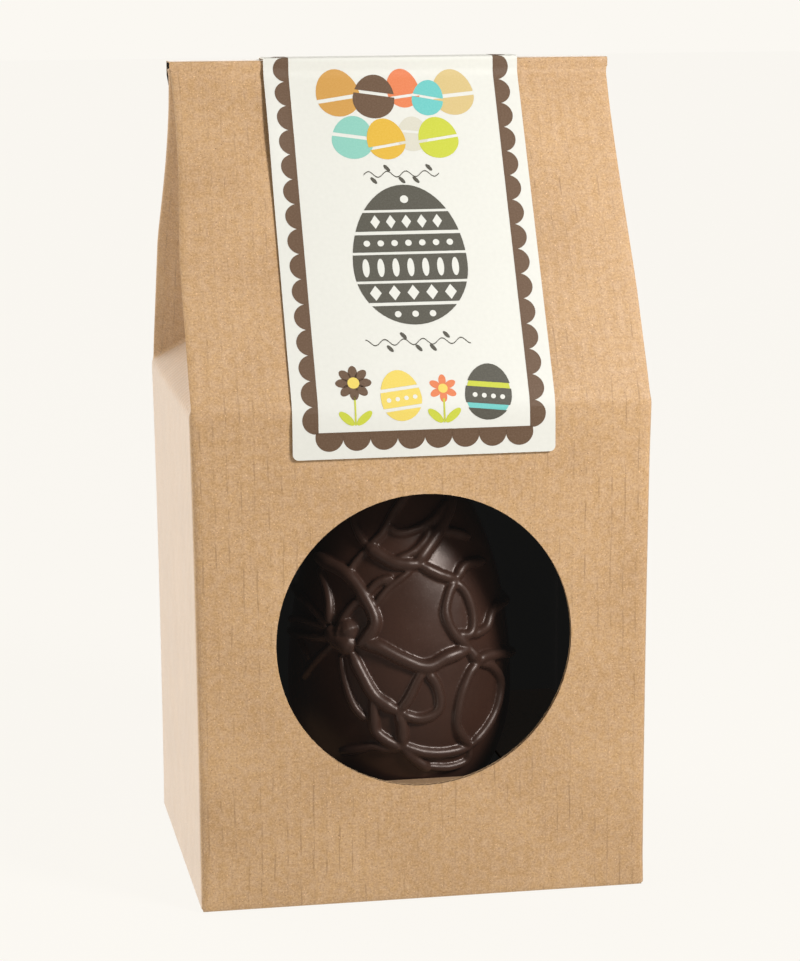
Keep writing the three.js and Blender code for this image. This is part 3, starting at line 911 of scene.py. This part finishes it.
# %% Lines of the drizzle
# Each thread: half its width in mm, then the points that it runs through as a turn
# round the egg in degrees, 0 at the front and positive to the right, and a height in mm.
DRIZZLE = [
    [2, [[-29, 73.3], [-21, 72.8], [-9, 69.4], [3, 66.8], [14, 69], [27, 70.4]]],
    [1.5, [[2, 66.2], [-2, 62.5], [-6, 57.8], [-11, 54]]],
    [1.5, [[3, 65.8], [8, 61.5], [10, 56], [7, 52.8], [-1, 51.7], [-11, 53.7]]],
    [1.85, [[-35, 70.6], [-29, 64.4], [-22, 58.2], [-11, 54]]],
    [1.3, [[-41, 69.3], [-38, 61.6], [-33, 54.8], [-27, 51.4]]],
    [1.65, [[-11, 53.7], [-9, 49.3], [-9, 43.7]]],
    [1.6, [[-23, 58.4], [-23, 52.1], [-22, 47.7], [-14, 44.2], [-9, 43.3]]],
    [1.25, [[-9, 43.3], [-17, 42.6], [-24, 43.2], [-32, 41.9], [-44, 39.9]]],
    [1.5, [[-9, 43.7], [1, 41.4], [14, 40.4], [30, 40.9]]],
    [1.65, [[-9, 43.3], [-2, 39], [6, 35.6]]],
    [1.25, [[4, 36.6], [18, 35.4], [29, 36.5], [30, 40.6]]],
    [1.5, [[29, 41.1], [20, 48.1], [21, 56.3], [27, 63.2], [33, 65.8]]],
    [1.5, [[29, 41], [39, 45.1], [48, 51.1], [51, 58.3], [43, 63.8], [33, 65.8]]],
    [1.85, [[27, 70.8], [33, 66.1]]],
    [1.65, [[33, 65.8], [43, 67], [93, 62]]],
    [1.5, [[28, 70.8], [19, 75.6], [15, 81.5], [18, 86.8], [23, 90.1]]],
    [1.5, [[23, 90.1], [29, 86.6], [32, 80.9], [31, 76.1], [27, 74.4], [21, 75.3]]],
    [1.5, [[29, 74.3], [41, 75.3], [54, 80], [99, 78.3]]],
    [1.6, [[24, 90.5], [13, 92.6], [2, 95.7]]],
    [1.5, [[24, 90.5], [33, 94], [51, 93.7]]],
    [1.85, [[0, 95.7], [8, 99.8], [19, 104.5], [31, 108.8], [45, 113.6]]],
    [1.85, [[2, 95.6], [-12, 96.1], [-22, 98.2], [-31, 100.6]]],
    [1.25, [[-31, 100.6], [-37, 102.9], [-41, 104.9], [-46, 108], [-50, 112.6]]],
    [1.25, [[-30, 100.5], [-22, 104], [-18, 107], [-14, 110.1], [-6, 113.4], [6, 116.6]]],
    [1.25, [[-18, 106.5], [-11, 104.3], [1, 105], [16, 107.5], [32, 111.6]]],
    [1.25, [[-15, 96.5], [-1, 99.2], [8, 102.6], [12, 105.6]]],
    [1, [[-31, 99.7], [-38, 95.8], [-41, 92]]],
    [1.95, [[-70, 95.6], [-55, 94.2], [-41, 92.2], [-30, 86.9], [-23, 79.5], [-31, 72.6]]],
    [1.25, [[-29, 86.7], [-23, 90.5], [-14, 92.3]]],
    [1, [[-24, 84], [-16, 89.4], [-3, 94.1]]],
    [1.3, [[-43, 74.4], [-41, 80], [-35, 84.3], [-29, 86.3]]],
    [1.5, [[-50, 77.9], [-51, 83.6], [-56, 88.6], [-64, 92.5]]],
    [1.3, [[-95, 83.5], [-69, 82.2], [-51, 77.8]]],
    [1.15, [[-97, 73.7], [-75, 77.1], [-51, 76.7]]],
    [1, [[-99, 70], [-84, 71.3], [-72, 69.9], [-63, 66.5]]],
    [1, [[-96, 71], [-63, 73], [-48, 74.1]]],
    [1, [[-47, 72.1], [-58, 66.1], [-68, 60.1]]],
    [3.3, [[-50, 76.2], [-41, 73.4], [-33, 71.9]]],
    [1.25, [[17, 104.1], [30, 103.4], [44, 101.1]]],
]
# Where the drizzle started it lies in a broad, low pool.
POOL = [
    [4.2, [[-45, 76.6], [-38, 75.8]]],
    [3.6, [[-40, 79.2], [-36, 74.2]]],
]
BACK_DRIZZLE = (1.3, 3.0)  # threads of these half widths are repeated on the back


def egg_radius_at(z):
    reach = EGG_BELOW if z < EGG_WIDEST_Z else EGG_ABOVE
    return EGG_RADIUS * math.sqrt(max(0.0, 1 - ((z - EGG_WIDEST_Z) / reach) ** 2))


def on_egg(turn, z, above=0.0):
    """A place on the shell, or above it, in mm."""
    radius = egg_radius_at(z)
    angle = math.radians(turn)
    reach = EGG_BELOW if z < EGG_WIDEST_Z else EGG_ABOVE
    out = Vector((math.sin(angle) * radius, -math.cos(angle) * radius, 0)) / EGG_RADIUS**2
    out.z = (z - EGG_WIDEST_Z) / reach**2
    place = Vector((math.sin(angle) * radius, EGG_Y - math.cos(angle) * radius, z))
    return place + out.normalized() * above


def curve_through(points, steps_between=10):
    """A smooth line through points, a Catmull-Rom spline."""
    rows = [np.array(point, float) for point in (points[0], *points, points[-1])]
    line = []
    for before, start, end, after in zip(rows, rows[1:], rows[2:], rows[3:]):
        for step in range(steps_between):
            t = step / steps_between
            line.append(0.5 * (
                2 * start + (end - before) * t
                + (2 * before - 5 * start + 4 * end - after) * t**2
                + (3 * start - before - 3 * end + after) * t**3
            ))
    return [*line, rows[-1]]


print(len(DRIZZLE), "threads drawn on the front, and a pool of", len(POOL))

# %% Pipe the threads


RISE = 0.3  # a thread's middle lies this share of its half width above the shell
BROAD, SINK = 2, 0.9  # one with more half width than this sinks by a share of the rest
UNEVEN, PER_MM = 0.12, 0.21  # how much a thread's width wanders, and how fast
SLIM = 0.97  # threads are drawn this much thinner, because running together widens them
END_WIDTH, END_STEPS = 0.62, 5  # the width of a thread's ends, and the steps that they take
SWELL = 0.06  # how much too thick all is made before it runs together
VOXEL = 0.36  # size of the remesh's cells
KEPT = 0.42  # share of the faces that the thinning leaves


def pipe(name, half_width, points, seed):
    """One thread as a bevelled curve, a little uneven in width, its ends rounded off."""
    line = curve_through(points)
    curve = bpy.data.curves.new(name, "CURVE")
    curve.dimensions = "3D"
    curve.bevel_depth = MM
    curve.bevel_resolution = 5
    curve.use_fill_caps = True
    spline = curve.splines.new("POLY")
    spline.points.add(len(line) - 1)
    for number, (turn, z) in enumerate(line):
        place = on_egg(turn, z, above=half_width * RISE - max(0, half_width - BROAD) * SINK)
        from_end = min(number, len(line) - 1 - number)
        uneven = 1 + UNEVEN * noise.noise(place * PER_MM + Vector((0, 0, seed)))
        end = min(1.0, END_WIDTH + (1 - END_WIDTH) * from_end / END_STEPS)
        spline.points[number].co = (*(place * MM), 1)
        spline.points[number].radius = half_width * SLIM * uneven * end + SWELL
    thread = bpy.data.objects.new(name, curve)
    bpy.context.collection.objects.link(thread)
    return thread


threads = []
for number, (half_width, points) in enumerate([*DRIZZLE, *POOL]):
    threads.append(pipe(f"thread_{number}", half_width, points, number * 7.3))
    if BACK_DRIZZLE[0] <= half_width < BACK_DRIZZLE[1]:
        behind = [(180 - turn, z) for turn, z in points]
        threads.append(pipe(f"thread_back_{number}", half_width, behind, number * 3.1))
only(*threads)
bpy.ops.object.convert(target="MESH")
print(len(threads), "threads piped")

# %% Run the threads together
apply_modifier(shell, "DISPLACE", strength=SWELL * MM, mid_level=0)
only(shell, *threads)
bpy.ops.object.join()
egg = bpy.context.object
apply_modifier(egg, "REMESH", mode="VOXEL", voxel_size=VOXEL * MM)
apply_modifier(egg, "SMOOTH", factor=0.5, iterations=2)
apply_modifier(egg, "DISPLACE", strength=-SWELL * MM, mid_level=0)
apply_modifier(egg, "DECIMATE", ratio=KEPT)
only(egg)
bpy.ops.object.shade_smooth()
tell(egg)

# %% Height above the shell
spots = np.array([vertex.co for vertex in egg.data.vertices]) / MM - (0, EGG_Y, EGG_WIDEST_Z)
reach = np.where(spots[:, 2] > 0, EGG_ABOVE, EGG_BELOW)
scales = np.stack([np.full(len(spots), EGG_RADIUS), np.full(len(spots), EGG_RADIUS), reach], axis=1)
share = np.linalg.norm(spots / scales, axis=1)
heights = (share - 1) * share / np.linalg.norm(spots / scales**2, axis=1)
egg.data.attributes.new("height", "FLOAT", "POINT").data.foreach_set("value", heights.astype("f"))
dress(egg, chocolate)
print("heights above the shell, in mm:", heights.min().round(2), "to", heights.max().round(2))
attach(egg, "root")
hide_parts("egg")

# %% [markdown]
# ## The card label
#
# A strip of white card is folded over the ridge and glued, with a brown scalloped border
# and a simple spring pattern printed on it. The strip is drawn flat, then carried to its
# place by a path that follows the carton's walls. The card is stiffer than the bend at
# the shoulder, so its lower ends stand off the board a little and throw a thin shadow.

# %% The label's path over the carton
LABEL_HALF = 37.4
LABEL_CORNER = 1.6
LABEL_FOOT_Z = 130.0
CARD = 0.35
STAND_OFF = 0.72  # from the board to the card's outer face
FOOT_OFF = 0.2  # how much more the lower ends stand off
STRAIGHT = 8.0  # length of each lower end that stays straight
BEND_REACH = [3.5, 1.6, 0.9, 0.9, 1.2, 3.5]  # the bends' softness, from the front to the back
CURL = 0.9  # how far the front's left edge lifts, a little below the ridge
CURL_WIDE, CURL_TALL, CURL_BELOW = 5, 16, 22  # its reach, and its middle below the ridge

flap_over = RIDGE_HALF + BOARD + LAYER_GAP + STAND_OFF
label_stops = np.array([
    (-HALF_DEPTH - STAND_OFF - FOOT_OFF, LABEL_FOOT_Z),
    (-HALF_DEPTH - STAND_OFF, SHOULDER_Z),
    (-RIDGE_HALF - STAND_OFF, RIDGE_Z - HEM),
    (-RIDGE_HALF - STAND_OFF, RIDGE_Z + STAND_OFF),
    (flap_over, RIDGE_Z + STAND_OFF),
    (flap_over, RIDGE_Z - HEM),
    (HALF_DEPTH + STAND_OFF, SHOULDER_Z),
    (HALF_DEPTH + STAND_OFF + FOOT_OFF, LABEL_FOOT_Z),
])
label_lengths = np.concatenate([[0], np.cumsum(np.hypot(*np.diff(label_stops, axis=0).T))])
LABEL_LENGTH = label_lengths[-1]
TOP = label_lengths[3]  # where the label crosses the ridge
print(f"label {2 * LABEL_HALF:.1f} x {LABEL_LENGTH:.1f} mm, ridge at {TOP:.1f} mm")


def label_path(s):
    """Y and Z of the label's path, s along it from its front end."""
    return np.stack([np.interp(s, label_lengths, label_stops[:, axis]) for axis in (0, 1)], -1)


def drape(x, s):
    """The place of a point of the flat label: x across it, s up from its front end."""
    soft = np.interp(s, label_lengths[1:7], BEND_REACH) * 0.9
    steps = np.linspace(-1, 1, 9)
    bent = sum(label_path(s + soft * step) for step in steps) / len(steps)
    ends = (s < STRAIGHT) | (s > LABEL_LENGTH - STRAIGHT)
    at = np.where(ends[..., None], label_path(s), bent)
    run = label_path(np.clip(s + 0.5, 0, LABEL_LENGTH)) - label_path(np.clip(s - 0.5, 0, LABEL_LENGTH))
    out = np.stack([-run[..., 1], run[..., 0]], -1) / np.linalg.norm(run, axis=-1)[..., None]
    near_edge = np.exp(-((x + LABEL_HALF) / CURL_WIDE) ** 2)
    near_ridge = np.exp(-((s - (TOP - CURL_BELOW)) / CURL_TALL) ** 2)
    lift = np.where(s < TOP - 3, CURL * near_edge * near_ridge, 0)
    return np.concatenate([x[..., None], at + out * lift[..., None]], -1)


# %% Make the card
card = plane("label_card", 2 * LABEL_HALF, LABEL_LENGTH, up=LABEL_LENGTH / 2)
bpy.ops.mesh.bevel(offset=LABEL_CORNER * MM, segments=6, affect="VERTICES")
label_rows = [1 + 3.0 * step for step in range(int(LABEL_LENGTH / 3))]
label_rows += [stop + 0.6 * step for stop in label_lengths[2:6] for step in range(-3, 4)]
label_columns = [-36.5, -35, -33, -31, *range(-28, 29, 7), 31, 33, 35, 36.5]
cut_rows(card, along=label_rows)
cut_rows(card, across=label_columns)
done(card)
keep_flat_places(card)
card_flat = places(card)
put(card, drape(card_flat[:, 0], card_flat[:, 1]))
white_card = Finish("label_card", Roughness=0.5, Specular_IOR_Level=0.35)
fleck = white_card.noise(white_card.flat(), 1.2, 3)
white_card.set(
    Base_Color=white_card.blend(fleck, colour(205, 204, 196), colour(212, 211, 203)),
    Roughness=fleck * 0.1 + 0.44,
    Normal=white_card.bump(white_card.noise(white_card.flat(), 24, 1) * 0.25 + fleck * 0.008),
)
dress(card, white_card)
face_outwards(card)
apply_modifier(card, "SOLIDIFY", thickness=CARD * MM, offset=-1, use_even_offset=True)
smooth(card, 40)
tell(card)
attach(card, "root")
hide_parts("label")

# %% [markdown]
# ## The print on the label
#
# Each field of colour is a flat shape, drawn on the flat label and carried to the card by
# the same path, a hair above it. A round shape is a disc, and an egg is a disc whose upper
# half is stretched and whose lower half is shortened. White bands are left out of a shape
# by cutting it through. All shapes of one ink make one piece. The border runs round the
# whole label, and every other piece is doubled, with the copy turned half round about the
# middle of the label for the back.

# %% Drawing on the flat label
sheet_rows = np.unique(np.round([0, *label_rows, LABEL_LENGTH], 4))
sheet_columns = np.array([-LABEL_HALF, *label_columns, LABEL_HALF])
facets = drape(*np.meshgrid(sheet_columns, sheet_rows))


def on_card(x, s, above):
    """Places above the card's facets, which are flat between its rows and columns."""
    row = np.clip(np.searchsorted(sheet_rows, s) - 1, 0, len(sheet_rows) - 2)
    column = np.clip(np.searchsorted(sheet_columns, x) - 1, 0, len(sheet_columns) - 2)
    up = ((s - sheet_rows[row]) / (sheet_rows[row + 1] - sheet_rows[row]))[:, None]
    share = (x - sheet_columns[column]) / (sheet_columns[column + 1] - sheet_columns[column])
    share = share[:, None]
    low = facets[row, column] * (1 - share) + facets[row, column + 1] * share
    high = facets[row + 1, column] * (1 - share) + facets[row + 1, column + 1] * share
    run = high - low
    out = np.stack([0 * s, -run[:, 2], run[:, 1]], -1)
    out /= np.linalg.norm(out, axis=1)[:, None]
    return low * (1 - up) + high * up + out * above


EGG_UPPER, EGG_LOWER = 1.16, 0.84  # an egg's halves, against those of a disc


def drawn(x, s, wide, tall, lean=0, sides=36, egg=False, without=()):
    """A flat disc, egg or diamond. Bands of it, given from its middle, are left out."""
    shape = disc(0.5, sides)
    bpy.ops.transform.resize(value=(wide, tall, 1), center_override=(0, 0, 0))
    for half, reach in ((1, EGG_UPPER), (-1, EGG_LOWER)) if egg else ():
        choose(shape, "verts", lambda p: p.y * half > 0.001)
        bpy.ops.transform.resize(value=(1, reach, 1), center_override=(0, 0, 0))
    for low, high in without:
        cut_rows(shape, along=(low, high))
        choose(shape, "faces", lambda p: low < p.y < high)
        bpy.ops.mesh.delete(type="FACE")
    bpy.ops.mesh.select_all(action="SELECT")
    turn_about((0, 0, 0), lean)
    bpy.ops.transform.translate(value=(x * MM, s * MM, 0))
    return done(shape)


def bar(left, right, low, high):
    """A flat rectangle."""
    return done(plane("bar", right - left, high - low, (left + right) / 2, (low + high) / 2))


STEM_FOOT = 9.3


def flower(x, s, petals, long, ink):
    """Petals round a yellow middle, a stem and two leaves."""
    for number in range(petals):
        turn = 360 / petals * number
        away = Vector((-math.sin(math.radians(turn)), math.cos(math.radians(turn)))) * long * 0.72
        inked[ink].append(drawn(x + away.x, s + away.y, long * 0.62, long, turn, 24))
    inked["yellow_ink"].append(drawn(x, s, long * 0.8, long * 0.8, sides=24))
    inked["lime_ink"].append(bar(x - 0.25, x + 0.25, STEM_FOOT, s - long * 0.9))
    for side in (-1, 1):
        inked["lime_ink"].append(drawn(x + side * 2.5, STEM_FOOT + 2, 2.3, 5.6, side * -48, 24))


print("the card has", len(sheet_rows) - 1, "rows and", len(sheet_columns) - 1, "columns of facets")

# %% The shapes of each ink
INKS = {
    "brown_ink": (94, 71, 52), "dark_ink": (76, 73, 63), "tan_ink": (187, 139, 67),
    "coral_ink": (207, 116, 73), "turquoise_ink": (98, 179, 174), "sand_ink": (195, 172, 116),
    "teal_ink": (126, 182, 167), "ochre_ink": (203, 162, 53), "pale_ink": (196, 192, 176),
    "lime_ink": (182, 187, 56), "yellow_ink": (214, 190, 88), "white_ink": (208, 207, 199),
}
ABOVE_CARD = {
    "brown_ink": 0.055, "dark_ink": 0.075, "coral_ink": 0.035, "turquoise_ink": 0.045,
    "ochre_ink": 0.065, "lime_ink": 0.055, "yellow_ink": 0.075, "white_ink": 0.1,
}
inked = {name: [] for name in INKS}

for ink, x, s, wide, tall, lean, band in (
    ("tan_ink", -16.2, 109.6, 12.8, 15, 9, (-1.2, 0)),
    ("brown_ink", -6, 108.4, 12.2, 14, -9, (1.6, 2.6)),
    ("coral_ink", 3, 111, 9.6, 12.4, 8, (-2, -1.1)),
    ("turquoise_ink", 9.8, 108, 9.2, 11.4, -12, (0.6, 1.4)),
    ("sand_ink", 17.6, 109.4, 12.2, 14.6, 6, (-0.4, 0.8)),
    ("teal_ink", -13.2, 95.6, 12.2, 13.6, -9, (0.8, 1.9)),
    ("ochre_ink", -3.4, 95, 11.2, 13, 10, (-1.6, -0.7)),
    ("pale_ink", 4.3, 96.6, 9, 11, -6, (1.2, 1.9)),
    ("lime_ink", 11.9, 95.2, 11.7, 13, 9, (0.2, 1.1)),
):
    inked[ink].append(drawn(x, s, wide, tall, lean, egg=True, without=[band]))

BIG_EGG_S = 56.6
bands = [(-12.2, -11.2), (-5.4, -4.6), (3.4, 4.2), (9.6, 10.6), (16.4, 17.2)]
inked["dark_ink"].append(drawn(0, BIG_EGG_S, 33, 43, egg=True, sides=64, without=bands))
for above, count, apart, wide, tall, sides in (
    (-14.8, 3, 5, 1.9, 1.9, 20), (-8.3, 5, 5.4, 3.4, 4.6, 4), (-0.6, 7, 4.3, 2, 5.6, 24),
    (6.9, 7, 4, 1.9, 1.9, 20), (13.5, 5, 4.5, 2.8, 4.2, 4), (20.4, 1, 0, 2.4, 2.4, 20),
):
    for number in range(count):
        x = (number - (count - 1) / 2) * apart
        inked["white_ink"].append(drawn(x, BIG_EGG_S + above, wide, tall, sides=sides))

flower(-19.6, 21.6, 8, 4.2, "brown_ink")
flower(5.6, 19.2, 6, 3.4, "coral_ink")
for ink, x, s, wide, tall, lean, without in (
    ("yellow_ink", -6.4, 16.4, 11.6, 15, 7, [(-3.2, -2.2), (2.6, 3.6)]),
    ("dark_ink", 18.4, 16.6, 13.4, 16.6, -6, [(-3.9, -2.3), (2.5, 4.1)]),
    ("turquoise_ink", 18.4, 16.6, 12.8, 16, -6, [(0, 20)]),
    ("lime_ink", 18.4, 16.6, 12.8, 16, -6, [(-20, 0)]),
):
    inked[ink].append(drawn(x, s, wide, tall, lean, egg=True, without=without))
for x, s, apart, climb, wide in ((-10, 16.1, 2.5, 0.3, 1.3), (14.6, 17, 2.6, -0.3, 1.4)):
    for number in range(4):
        inked["white_ink"].append(drawn(x + number * apart, s + number * climb, wide, wide, sides=16))


RIPPLE = 1.15  # how fast a vine waves, in radians per mm


def vine(s, wide):
    """A thin wavy line with small leaves on its crests."""
    bpy.ops.object.select_all(action="DESELECT")
    bpy.ops.mesh.primitive_grid_add(x_subdivisions=80, y_subdivisions=1, size=1)
    line = bpy.context.object
    flat = places(line)
    along = flat[:, 0] * MM * wide
    flat[:, 1] = s + np.sign(flat[:, 1]) * 0.17 + 0.9 * np.sin(along * RIPPLE)
    flat[:, 0] = along
    put(line, flat)
    inked["dark_ink"].append(line)
    for number in range(-2, 3):
        x = number * math.pi / RIPPLE * 1.5
        side = 1 if math.sin(x * RIPPLE) > 0 else -1
        inked["dark_ink"].append(drawn(x, s + side * 1.9, 1.1, 2.6, 40, 16))


vine(84.9, 22)
vine(33.4, 30)
print({name: len(shapes) for name, shapes in inked.items()})

# %% The scalloped border
INNER = 30.1  # from the middle to the border's inner side
INNER_FOOT = 7.5
STRIP = 0.6  # width of the straight strip that the scallops grow from
SCALLOP = 3.95  # radius
SIDE_SCALLOPS, FOOT_SCALLOPS = 31, 8
side_start = INNER_FOOT - 0.27
side_pitch = (LABEL_LENGTH - 2 * side_start) / SIDE_SCALLOPS
foot_half = INNER + 0.82
foot_pitch = 2 * foot_half / FOOT_SCALLOPS


def scallop(x, s, turn, pitch, sunk=0.0):
    """Part of a disc: what shows of it past the border's straight strip."""
    part = disc(SCALLOP, 40)
    for where, normal in (
        ((0, sunk + 0.03, 0), (0, -1, 0)), ((pitch / 2, 0, 0), (-1, 0, 0)),
        ((-pitch / 2, 0, 0), (1, 0, 0)),
    ):
        bpy.ops.mesh.select_all(action="SELECT")
        bpy.ops.mesh.bisect(plane_co=Vector(where) * MM, plane_no=normal, clear_inner=True)
    bpy.ops.mesh.select_all(action="SELECT")
    turn_about((0, 0, 0), turn)
    bpy.ops.transform.translate(value=(x * MM, s * MM, 0))
    return done(part)


border = []
for side in (-1, 1):
    for number in range(SIDE_SCALLOPS):
        middle_s = side_start + (number + 0.5) * side_pitch
        border.append(scallop(side * (INNER + 0.58), middle_s, 90 * side, side_pitch))
    left, right = sorted((side * INNER, side * (INNER + STRIP)))
    border.append(bar(left, right, side_start, LABEL_LENGTH - side_start))
    near, far = (INNER_FOOT, 0) if side < 0 else (LABEL_LENGTH - INNER_FOOT, 180)
    low, high = sorted((near, near + side * STRIP))
    border.append(bar(-foot_half, foot_half, low, high))
    for number in range(FOOT_SCALLOPS):
        x = (number - (FOOT_SCALLOPS - 1) / 2) * foot_pitch
        border.append(scallop(x, near + side * 1.4, far, foot_pitch, 0.8))
inked["border_ink"] = border
INKS["border_ink"] = INKS["brown_ink"]
print("border of", len(border), "parts")

# %% Carry the print to the card
LOWEST = 0.035  # how far above the card the lowest ink lies
CURVED_FOOT = 24.0  # length of each lower end where the print follows every row of the card
for name, shapes in inked.items():
    only(*shapes)
    bpy.ops.object.join()
    field = bpy.context.object
    field.name = f"label_{name}"
    field.data.name = field.name
    edit(field)
    if name != "border_ink":
        bpy.ops.mesh.select_all(action="SELECT")
        bpy.ops.mesh.duplicate()
        turn_about((0, LABEL_LENGTH / 2, 0), -180)
    done(field)
    reach = places(field)[:, 1]
    edit(field)
    for s in sheet_rows:
        bent = min(s, LABEL_LENGTH - s) < CURVED_FOOT or abs(s - TOP) < 14 or name == "border_ink"
        if bent and reach.min() < s < reach.max():
            cut_rows(field, along=[s])
    if name == "border_ink":
        cut_rows(field, across=sheet_columns)
    done(field)
    keep_flat_places(field)
    flat = places(field)
    put(field, on_card(flat[:, 0], flat[:, 1], ABOVE_CARD.get(name, LOWEST)))
    print_finish = Finish(name, Roughness=0.55, Specular_IOR_Level=0.3)
    tooth = print_finish.noise(print_finish.flat(), 0.5, 3, 0.6)
    print_finish.set(
        Base_Color=print_finish.blend(
            tooth.between(0.35, 0.75), colour(*INKS[name]),
            colour(*(channel + (255 - channel) * 0.06 for channel in INKS[name])),
        ),
    )
    dress(field, print_finish)
    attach(field, "root")
    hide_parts("label")
    tell(field)

# %% [markdown]
# ## Light, floor and surroundings
#
# The pack stands on a pale sweep under soft light. The key is one softbox at the right, in
# front and above: it lights the drizzle from the side, and the window's rim cuts it off
# towards the egg's edge. The surroundings give their light from behind on the left, which
# makes the left wall bright, and hardly any from the front. The camera sees them evenly
# pale from every side. The floor glows as they do, and mirrored rays pass through it,
# because its shine would be too strong on the egg's underside.

# %% Floor
cream = colour(251, 248, 242)
floor_finish = Finish(
    "pale_floor", Base_Color=colour(50, 49, 48), Roughness=1.0, Specular_IOR_Level=0.0,
    Emission_Color=cream, Emission_Strength=0.965,
)
bpy.ops.object.select_all(action="DESELECT")
bpy.ops.mesh.primitive_plane_add(size=12, location=(0, 0, -0.0001))
floor = bpy.context.object
floor.name = "floor"
floor.visible_glossy = False
dress(floor, floor_finish)
print("floor", [round(size, 1) for size in floor.dimensions], "m")

# %% Surroundings
FRONT_FILL, BACK_FILL = 0.06, 2.45
BRIGHT_SIDE = (-0.8, 0.6, 0.05)


class Surroundings(Finish):
    """The world's nodes, which are written in the same way as a finish."""

    def __init__(self, name):
        world = bpy.data.worlds.new(name)
        world.use_nodes = True
        bpy.context.scene.world = world
        self.tree = world.node_tree
        self.surface = self.tree.nodes["Background"]


air = Surroundings("surroundings")
looking = air.add("ShaderNodeTexCoord")
towards = air.add("ShaderNodeVectorMath", {"operation": "DOT_PRODUCT"}, looking, BRIGHT_SIDE, out=1)
fill = towards.between(0.2, 0.8) * (BACK_FILL - FRONT_FILL) + FRONT_FILL
seen = air.add("ShaderNodeLightPath")
air.set(Color=cream, Strength=fill * (1 - seen) + seen)
print("surroundings:", len(air.tree.nodes), "nodes")

# %% Key light
KEY_TURN, KEY_HEIGHT = math.radians(40), math.radians(31)  # its direction from the pack
KEY_DISTANCE = 0.9
KEY_SIZE = 0.21
KEY_POWER = 9.3
AIM = Vector((0, 0, 0.1))

level = math.cos(KEY_HEIGHT)
way = Vector((math.sin(KEY_TURN) * level, -math.cos(KEY_TURN) * level, math.sin(KEY_HEIGHT)))
bpy.ops.object.light_add(type="AREA", location=AIM + way * KEY_DISTANCE)
key = bpy.context.object
key.name = "key_softbox"
key.rotation_euler = way.to_track_quat("Z", "Y").to_euler()
key.data.shape = "RECTANGLE"
key.data.size = key.data.size_y = KEY_SIZE
key.data.energy = KEY_POWER
bpy.context.scene.view_settings.view_transform = "Standard"
bpy.context.scene.view_settings.look = "None"
print("key light at", [round(value, 3) for value in key.location])
